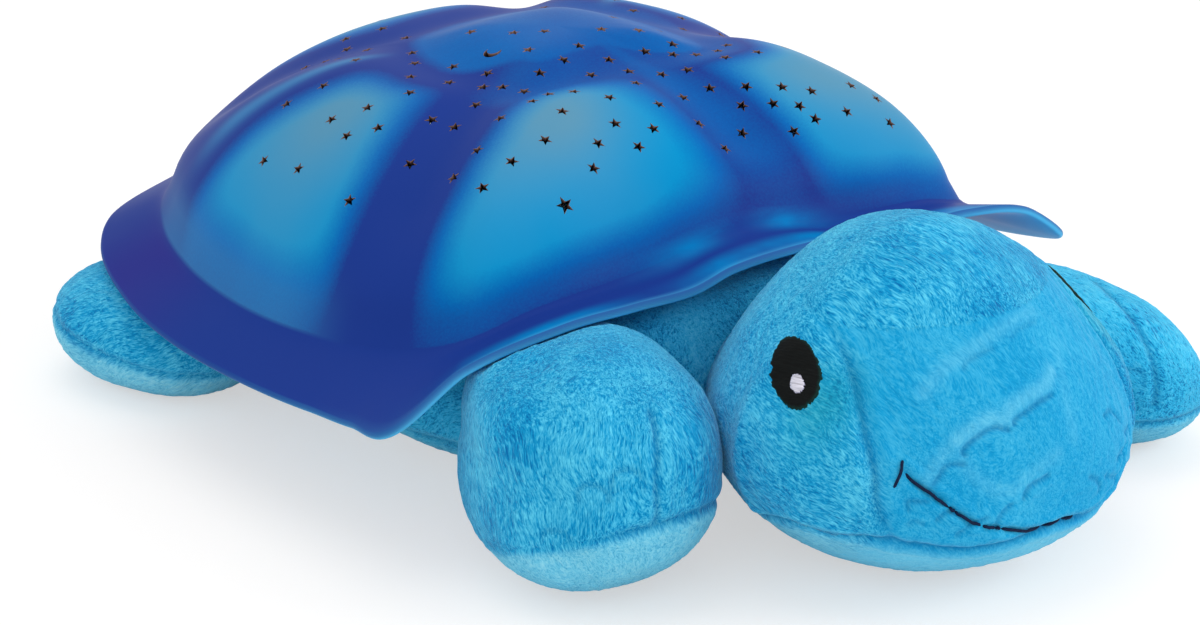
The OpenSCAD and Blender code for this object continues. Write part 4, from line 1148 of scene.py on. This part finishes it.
def left_seams(p, n):
    ridge = p[:, 0] - 87 - 0.25 * (p[:, 1] + 100)
    return [along_skin(ridge, (1, -0.25, 0), n) + OFF * smoothstep(-86, -78, p[:, 1]) + OFF * (p[:, 2] < 20),
            along_skin(p[:, 2] - 14, (0, 0, 1), n)]


def foot_sole(p):
    return 13.5 + 0.13 * (p[:, 1] - 81) - p[:, 2]


def make_limbs():
    plush_blob("stuffed_flipper_right", 84,
               dict(centre=(-76.5, -71, 30), half=(31.5, 38, 27.5), turn=-20, power=0.82, lean=-0.14),
               right_seams, right_sole, "front_flipper_right", (-0.15, -0.5, -1), 21,
               scales=[(-91, 38, 4), (-99, 36, 3), (-106, 25, 2)], swell=right_shoulder, beside_head=True)
    # The left flipper gets the lighter copy of the plush: painted light
    plush_blob("stuffed_flipper_left", 78,
               dict(centre=(86.5, -78.5, 23), half=(29.5, 44, 24), turn=14, lean=0.25),
               left_seams, lambda p: 14 - p[:, 2], "front_flipper_left", (0.2, -1, -0.5), 31,
               scales=[(76, 28, 3)], base=PLUSH_PAINTED_LIGHTER, beside_head=True)
    for side, name in ((-1, "right"), (1, "left")):
        plush_blob("stuffed_foot_" + name, 66,
                   dict(centre=(side * 89, 110, 17), half=(28, 36, 18), turn=side * -10, power=0.94),
                   lambda p, n: [along_skin(foot_sole(p), (0, 0.13, -1), n)], foot_sole,
                   "rear_foot_" + name, (side * 0.4, 1, -0.5), 41 + side, dark=0.3)
    plush_blob("stuffed_tail", 36, dict(centre=(0, 140, 17), half=(13, 21, 11)),
               lambda p, n: [along_skin(p[:, 0], (1, 0, 0), n) + 20 * (p[:, 2] > 18)],
               lambda p: 8 - p[:, 2], "plush_tail", (0, 1, -0.4), 51)


TRUNK_W = 176
# Sections of the trunk from shoulders to rump: y, width as a share of TRUNK_W, top and bottom
TRUNK = [[-58, 0.44, 42, 15], [-54, 0.60, 50, 8], [-47, 0.75, 55.5, 3], [-37, 0.86, 56, -3],
         [-34, 0.88, 50, -5], [-22, 0.95, 50, -6], [0, 1, 50, -6], [30, 1, 50, -6], [60, 0.99, 50, -6],
         [85, 0.92, 50, -6], [103, 0.80, 49, -5], [117, 0.62, 46, -1], [127, 0.44, 41, 6],
         [133, 0.24, 34, 14]]
TRUNK_SEAM_Z = 17
# Where the top falls from the shoulders to the tray
SHOULDER_Y = -38
# Middle of the clamp ring under the tray, the radii of its seat and of the opening, and their lower ends
RING_Y = 36
RING_R = 64.6
RING_Z = 37
OPENING_R = 49
OPENING_Z = 32
TRAY_Z = 44
# The pocket in the belly for the flap, and the ledge over the flap's free end
POCKET_W = 58
POCKET_Y = (-2, 88)
LEDGE_L = 14
FLAP_T = 4
LEDGE_Z = FLAP_T + 2.6


def trunk_points(steps, columns, grow=0):
    """Rows of points round the trunk, from the shoulders to the rump."""
    angle = np.arange(columns) * 2 * math.pi / columns
    c, d = np.cos(angle), np.sin(angle)
    square = np.where(d > 0, 2 / 2.4, 2 / 1.9)
    c, d = signed_power(c, square), signed_power(d, square)
    rows = []
    for y, width, top, bottom in rounded_path(TRUNK, steps):
        mid = bottom + (top - bottom) * 0.62
        z = mid + np.where(d > 0, d * (top - mid + grow), d * (mid - bottom + grow))
        rows.append(np.stack([(width * TRUNK_W / 2 + grow) * c, np.full(columns, y), z], 1))
    rows[0][:, 1] -= grow
    rows[-1][:, 1] += grow
    return np.array(rows)


def lofted(name, rows, material):
    """A closed form through rows of points."""
    count, columns = rows.shape[:2]
    faces = [list(f) for f in grid_faces(count, columns)]
    faces += [list(range(columns))[::-1], [(count - 1) * columns + i for i in range(columns)]]
    obj = make_object(name, rows.reshape(-1, 3), faces, material)
    mend_normals(obj)
    return obj


def trunk_form(name, grow):
    return lofted(name, trunk_points(5, 120, grow), [])


def head_form(name, grow):
    directions, quads = sphere_grid(30)
    points = head_surface(directions)
    middle = np.array([0, -108, 45])
    form = make_object(name, points + unit(points - middle) * (grow + 0.8), quads, [])
    mend_normals(form)
    return form


def box_part(low, high):
    """A plain box, used to cut with."""
    x0, y0, z0 = low
    x1, y1, z1 = high
    points = np.array([[x, y, z] for z in (z0, z1) for y in (y0, y1) for x in (x0, x1)], float)
    faces = [[0, 2, 3, 1], [4, 5, 7, 6], [0, 1, 5, 4], [2, 6, 7, 3], [0, 4, 6, 2], [1, 3, 7, 5]]
    return points, faces


def drum_part(radius, low, high):
    """A plain drum round the clamp ring's axis, used to cut with."""
    ring = round_points(radius, np.arange(96) * math.pi / 48)
    return prism(ring, np.array([0, RING_Y, high]), np.array([0, 0, 1.0]), (high - low) / 0.75)


def make_trunk():
    rows = trunk_points(12, 360)
    pile = (0, 1, -0.6)
    # The trunk gets the lighter copy of the plush: painted light
    trunk = lofted("stuffed_trunk", rows, plush_fabric("trunk_plush", pile, PLUSH_PAINTED_LIGHTER))
    points = rows.reshape(-1, 3)
    n = normals_of(trunk)
    seam = dent(np.abs(points[:, 2] - TRUNK_SEAM_Z), 1.3, 1.6)
    points = points + n * seam[:, None] + stuff(points, n, 61, pile)
    points[:, 2] = soft_floor(points[:, 2])
    points[:, 2] = np.minimum(points[:, 2], np.where(points[:, 1] < SHOULDER_Y, 80, TRAY_Z - SOFT_GAP))
    set_points(trunk, points)
    half = POCKET_W / 2
    parts = [box_part((-half, POCKET_Y[0], -2), (half, POCKET_Y[1], LEDGE_Z)),
             box_part((-half, POCKET_Y[0], -1), (half, POCKET_Y[1] - LEDGE_L, 80)),
             drum_part(RING_R, RING_Z, TRAY_Z + 4), drum_part(OPENING_R, OPENING_Z, 60)]
    cut(trunk, [make_object("cutter", *part, []) for part in parts], "EXACT")
    sharp_by_angle(trunk, 45)
    z = points_of(trunk)[:, 2]
    set_pile(trunk, seam=bell(z - TRUNK_SEAM_Z, 1.0) * 0.5, sole=smoothstep(2, -4, z - 15) * 0.5)
    return finish_plush(trunk, "plush", "plush_trunk", fill=0.7)


# ---- face
EYE_W = 13.4
EYE_H = 20
EYE_TURN = 70
EYE_TILT = 20
# The ovals lean back at the top, away from the nose
EYE_LEAN = 37
EYE_AT = np.array([16, -106.5, 49.5])
EYE_CENTRES = [np.array([-47.3, -118, 62]), np.array([47.3, -118, 62])]
# The mouth line, its lower far side and the tick at its corner, as places (x, z) of the front view
MOUTH = [(-38, 42), (-37, 40), (-34, 37), (-30, 33), (-24, 28), (-16, 25), (-9, 23), (-2, 22)]
FAR_MOUTH = [(-2, 22), (5, 22), (12, 21), (20, 22), (28, 26), (34, 32)]
MOUTH_TICK = [(-38, 45), (-39.5, 42), (-41.5, 38.5)]


def eye_frame(side):
    """Origin and axes of an eye: across, up and outward."""
    turn = Matrix.Rotation(math.radians(side * EYE_TURN), 3, "Z")
    tilt = Matrix.Rotation(math.radians(-EYE_TILT), 3, "X")
    across, up, outward = [np.array(turn @ tilt @ Vector(v)) for v in ((1, 0, 0), (0, 0, 1), (0, -1, 0))]
    return EYE_AT * [side, 1, 1], across, up, outward


# Rings and columns of a stitched oval's mesh
PATCH_GRID = (22, 260)
PATCH_DEPTH = 1.6


def stitched_patch(name, side, size, shift, lift, dome, ragged, material, slot, node, skin):
    """An embroidered oval on the head, padded in the middle and frayed at its edge."""
    origin, across, up, outward = eye_frame(side)
    centre = origin + across * shift[0] + up * shift[1]
    lean = math.radians(-side * EYE_LEAN)
    wide = across * math.cos(lean) + up * math.sin(lean)
    tall = up * math.cos(lean) - across * math.sin(lean)
    rings, columns = PATCH_GRID
    angle = np.arange(columns) * 2 * math.pi / columns
    circle = np.stack([np.cos(angle), np.sin(angle), 0 * angle], 1)
    fray = 0.8 * noise(circle, 0.5, 7 + side) + noise(circle, 0.09, 8) + 0.9 * noise(circle, 0.045, 9)
    starts, rise, rim = [], [], []
    for r in np.linspace(0, 1, rings)[1:]:
        reach = r * (1 + ragged * fray * r ** 8)
        starts.append(centre + np.outer(circle[:, 0] * reach * size[0] / 2, wide)
                      + np.outer(circle[:, 1] * reach * size[1] / 2, tall))
        rise.append(np.full(columns, lift * (1 if r < 0.99 else 0.1) + dome * (1 - r ** 4)))
        rim.append(np.full(columns, smoothstep(0.88, 0.98, r)))
    starts = np.concatenate(starts + [[centre]])
    rise = np.append(np.concatenate(rise), lift + dome)
    rim = np.append(np.concatenate(rim), 0)
    hits = [skin.ray_cast(Vector(p * MM), Vector(outward)) for p in starts]
    surface, normals = hit_skin(hits, outward)
    surface = surface + normals * (rise + 0.10 * noise(surface, 0.9, 5))[:, None]
    count = len(surface)
    faces = [list(f)[::-1] for f in grid_faces(rings - 1, columns)]
    faces += [[count - 1, i, (i + 1) % columns] for i in range(columns)]
    bottom = [[i + count for i in f][::-1] for f in faces]
    edge = [(rings - 2) * columns + i for i in range(columns)]
    wall = [[a, a + count, b + count, b] for a, b in zip(edge, edge[1:] + edge[:1])]
    both = np.concatenate([surface, surface - normals * PATCH_DEPTH])
    patch = make_object(name, both, faces + bottom + wall, material)
    mend_normals(patch)
    set_attribute(patch, "rim", np.concatenate([rim, rim]))
    return settle(patch, slot, node)


def make_face(skin):
    for side, name in ((-1, "right"), (1, "left")):
        across = eye_frame(side)[1]
        black = thread("eye_thread_" + name, linear(10, 14, 14), linear(12, 46, 42), across, 1700)
        white = thread("glint_thread_" + name, linear(240, 238, 252), linear(190, 190, 224), across, 1500)
        stitched_patch("stitched_eye_" + name, side, (EYE_W, EYE_H), (side, -0.2), 0.25, 0.4, 0.035, black,
                       "eye_thread", "eye_" + name, skin)
        stitched_patch("stitched_glint_" + name, side, (3.8, 5.2), (-side, -2.8), 0.65, 0.3, 0.14, white,
                       "glint_thread", "eye_glint_" + name, skin)
    make_mouth(skin)


def make_mouth(skin):
    """The mouth as separate long stitches that dip into the pile at both ends."""
    material = thread("mouth_thread", linear(20, 38, 74), linear(20, 38, 74), (1, 0, 0.3), 2500)
    lines = [rounded_path(on_front(skin, MOUTH_TICK), 5)]
    for places, breaks in ((MOUTH, (0, 0.32, 0.36, 0.55, 0.64, 0.67, 1)), (FAR_MOUTH, (0, 0.17, 0.3))):
        route = rounded_path(on_front(skin, places), 8)
        length = np.concatenate([[0], np.cumsum(np.linalg.norm(np.diff(route, axis=0), axis=1))])
        for a, b in zip(breaks[:-1], breaks[1:]):
            t = np.linspace(a * length[-1] + 0.25, b * length[-1] - 0.25, 12)
            lines.append(np.stack([np.interp(t, length, route[:, k]) for k in range(3)], 1))
    parts = []
    for line in lines:
        rise = -0.7 + 1.15 * np.sin(math.pi * np.linspace(0, 1, len(line))) ** 0.4
        places, normals = hit_skin([skin.find_nearest(Vector(p * MM)) for p in line], (0, -1, 0))
        parts.append(tube(places + normals * rise[:, None], 0.4, 8))
    mouth = make_object("stitched_mouth", *join_parts(parts), material)
    mend_normals(mouth)
    set_attribute(mouth, "rim", np.zeros(len(mouth.data.vertices)))
    return settle(mouth, "mouth_thread", "mouth_stitch")


# ---- belly flap
FLAP_GRID = (74, 116)
FLAP_CORNER = 3
# The hem's stitches run this far inside the edge
HEM = 4.5


def make_flap():
    """The padded flap, with a stitched hem round its edge."""
    length = POCKET_Y[1] - POCKET_Y[0] - 2 * SOFT_GAP
    middle = POCKET_Y[0] + SOFT_GAP + length / 2
    nx, ny = FLAP_GRID
    xs = np.linspace(-1, 1, nx + 1)
    ys = np.linspace(-1, 1, ny + 1)
    gx, gy = np.meshgrid(xs, ys, indexing="xy")
    half_w = POCKET_W / 2 - 1
    half_l = length / 2
    px, py = gx * half_w, gy * half_l
    # Rounded corners
    ix, iy = half_w - FLAP_CORNER, half_l - FLAP_CORNER
    over = np.stack([np.maximum(np.abs(px) - ix, 0), np.maximum(np.abs(py) - iy, 0)], -1)
    far = np.linalg.norm(over, axis=-1)
    pull = np.where(far > FLAP_CORNER, FLAP_CORNER / np.maximum(far, 1e-9), 1)
    px = np.where(np.abs(px) > ix, np.sign(px) * (ix + over[..., 0] * pull), px)
    py = np.where(np.abs(py) > iy, np.sign(py) * (iy + over[..., 1] * pull), py)
    edge = np.minimum(half_w - np.abs(px), half_l - np.abs(py))
    hem = dent(np.abs(edge - HEM), 0.55, 0.7, 0.5)
    round_edge = 1.1 * np.exp(-((np.maximum(edge, 0) / 0.9) ** 1.2))
    flat = np.stack([px.ravel(), py.ravel() + middle, np.zeros(px.size)], 1)
    pile = 0.10 * noise(flat, 1.6, 71) + 0.08 * noise(flat, 0.9, 72)
    puff = 0.25 * smoothstep(4, 12, edge).ravel()
    bottom = flat.copy()
    bottom[:, 2] = 0.35 - hem.ravel() * 0.8 + round_edge.ravel() - pile - puff * 0.8
    bottom[:, 2] = np.maximum(bottom[:, 2], 0.03)
    top = flat.copy()
    top[:, 2] = FLAP_T - 0.35 + hem.ravel() * 0.8 - round_edge.ravel() + pile * 0.5
    top[:, 2] = np.minimum(top[:, 2], FLAP_T - 0.05)
    count = len(flat)
    quads = grid_faces(ny + 1, nx + 1, False)
    faces = [list(f)[::-1] for f in quads] + [[i + count for i in f] for f in quads]
    ring = (list(range(nx + 1)) + [(nx + 1) * k + nx for k in range(1, ny + 1)]
            + [(nx + 1) * ny + j for j in range(nx - 1, -1, -1)]
            + [(nx + 1) * k for k in range(ny - 1, 0, -1)])
    faces += [[a, b, b + count, a + count] for a, b in zip(ring, ring[1:] + ring[:1])]
    # The belly flap's paler fabric, with the same painted shade and highlight in its pile
    fabric = plush_fabric("flap_plush", (0, 1, 0), base=linear(88, 180, 216), tip_highlight=linear(140, 212, 234),
                          deep=linear(46, 140, 190), strength=0.5)
    flap = make_object("padded_flap", np.concatenate([bottom, top]), faces, fabric)
    mend_normals(flap)
    stitch = bell(edge.ravel() - HEM, 0.5) * 0.8
    set_pile(flap, seam=np.concatenate([stitch, stitch]))
    settle(flap, "flap_fabric", "belly_flap", body="belly_flap")


TAPE_DEPTH = 0.0006


def tape(name, colour, loops):
    """Hook or loop tape: rows of tiny hooks, or a mat of loops."""
    n = new_material(name)
    where = n.position()
    if loops:
        fluff = n.noise(where, 1400, 4, 0.7, 1.5)
        # Painted shade in the hollows of the mat of loops
        shade = n.ramp(fluff, [(0.3, darker(colour, 0.6)), (0.7, colour)], "B_SPLINE")
        return n.finish(shade, 0.9, n.bump(fluff, 1.0, TAPE_DEPTH), Sheen_Weight=0.5)
    hooks = n.new("ShaderNodeTexVoronoi", Scale=900.0)
    n.link(where, hooks.inputs["Vector"])
    return n.finish(colour, 0.55, n.bump(hooks.outputs["Distance"], 1.0, TAPE_DEPTH))


# ---- inside and underneath
def dress_cad():
    """Materials for the CAD pieces that are kept as they are."""
    white = moulded("white_plastic", linear(232, 232, 226), 0.42)
    steel = metal("plated_steel", linear(200, 202, 204), 0.28)
    board = moulded("solder_mask", linear(22, 92, 50), 0.3, tint=0.25, Coat_Weight=0.4)
    clear = moulded("clear_film", linear(225, 240, 248), 0.12, Transmission_Weight=0.9, IOR=1.45)
    black = moulded("black_plastic", linear(30, 30, 32), 0.45)
    jacket = metal("cell_jacket", linear(70, 86, 110), 0.32)
    dressed = {
        "base_tray": white, "lamp_post": white, "clamp_ring": white, "battery_door": white,
        "lamp_board": board, "control_board": board, "board_parts": black, "tact_switches": black,
        "star_liner": clear, "cell_1": jacket, "cell_2": jacket, "cell_3": jacket,
        "board_screws": steel, "shell_screws": steel, "ring_screws": steel, "door_screw": steel,
        "contact_plates": steel, "contact_springs": steel,
        "battery_leads": moulded("lead_insulation", linear(120, 24, 24), 0.5),
        "lamp_lead": moulded("flat_lead", linear(210, 210, 214), 0.5),
        "power_button": moulded("power_button", linear(40, 70, 150), 0.4),
        "loop_strip": tape("loop_tape", linear(190, 216, 228), True),
        "hook_strip": tape("hook_tape", linear(26, 76, 128), False)}
    for light, lens, button in (("amber", linear(255, 190, 90), linear(240, 160, 50)),
                                ("green", linear(110, 230, 130), linear(80, 185, 100)),
                                ("blue", linear(90, 140, 255), linear(60, 110, 225))):
        dressed[light + "_lamp"] = moulded(light + "_lens", lens, 0.15, Transmission_Weight=0.6)
        dressed[light + "_button"] = moulded(light + "_button", button, 0.4)
    for name, material in dressed.items():
        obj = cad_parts[name]
        obj.data.materials.clear()
        obj.data.materials.append(material)


# ---- studio
VIEW_AZIMUTH = -38.9
VIEW_ELEVATION = 20.7
VIEW_TARGET = Vector((-0.0430, -0.0339, 0.0519))
VIEW_DISTANCE = 1.0
LENS = 112.5
SENSOR = 36
# Each light's name, place and side in metres, and its power in watts
LIGHTS = [("overhead", (-0.1, 0.35, 1.3), 1.1, 4.3), ("front_left", (-1.0, -1.0, 0.85), 0.8, 2.4),
          ("right_fill", (1.0, -0.9, 0.7), 0.7, 7.0)]
LIT_POINT = Vector((0, 0, 0.05))
# The world's strength as a light. What the camera sees of it has strength 1
WORLD_LIGHT = 0.78
FLOOR_HALF = 4000


def area_light(name, place, size, power):
    light = bpy.data.lights.new(name, "AREA")
    light.size = size
    light.energy = power
    obj = bpy.data.objects.new(name, light)
    bpy.context.scene.collection.objects.link(obj)
    obj.location = place
    obj.rotation_euler = (LIT_POINT - Vector(place)).to_track_quat("-Z", "Y").to_euler()


def make_studio():
    scene = bpy.context.scene
    scene.view_settings.view_transform = "Standard"
    camera = bpy.data.objects.new("camera", bpy.data.cameras.new("camera"))
    scene.collection.objects.link(camera)
    camera.data.lens = LENS
    camera.data.sensor_width = SENSOR
    camera.data.clip_end = 20
    a, e = math.radians(VIEW_AZIMUTH), math.radians(VIEW_ELEVATION)
    back = Vector((math.sin(a) * math.cos(e), -math.cos(a) * math.cos(e), math.sin(e)))
    camera.location = VIEW_TARGET + back * VIEW_DISTANCE
    camera.rotation_euler = back.to_track_quat("Z", "Y").to_euler()
    scene.camera = camera
    world = bpy.data.worlds.new("studio")
    scene.world = world
    n = Nodes(world)
    background = n.tree.nodes["Background"]
    background.inputs["Color"].default_value = (1, 1, 1, 1)
    n.link(n.remap(n.seen_directly(), 0, 1, WORLD_LIGHT, 1.0), background.inputs["Strength"])
    corners = np.array([[-1, -1, 0], [1, -1, 0], [1, 1, 0], [-1, 1, 0]]) * FLOOR_HALF
    floor = make_object("floor", corners, [[0, 1, 2, 3]], floor_material(), smooth=False)
    for light in LIGHTS:
        area_light(*light)


def floor_material():
    """White paper sweep that the camera sees near white, with the object's shadow on it."""
    n = new_material("white_floor")
    drift = n.noise(n.position(), 3, 2)
    colour = n.mix(drift, (0.95, 0.93, 0.915, 1), (0.97, 0.95, 0.935, 1))
    n.finish(colour, 0.9, Specular_IOR_Level=0.1)
    glow = n.new("ShaderNodeEmission", Strength=1.12)
    both = n.new("ShaderNodeMixShader")
    n.feed(both.inputs[0], n.math("MULTIPLY", n.seen_directly(), 0.5))
    n.link(n.shader.outputs[0], both.inputs[1])
    n.link(glow.outputs[0], both.inputs[2])
    n.link(both.outputs[0], n.tree.nodes["Material Output"].inputs["Surface"])
    return n.owner


make_studio()
make_shell()
skin = make_head()
make_limbs()
make_trunk()
make_face(skin)
make_flap()
dress_cad()
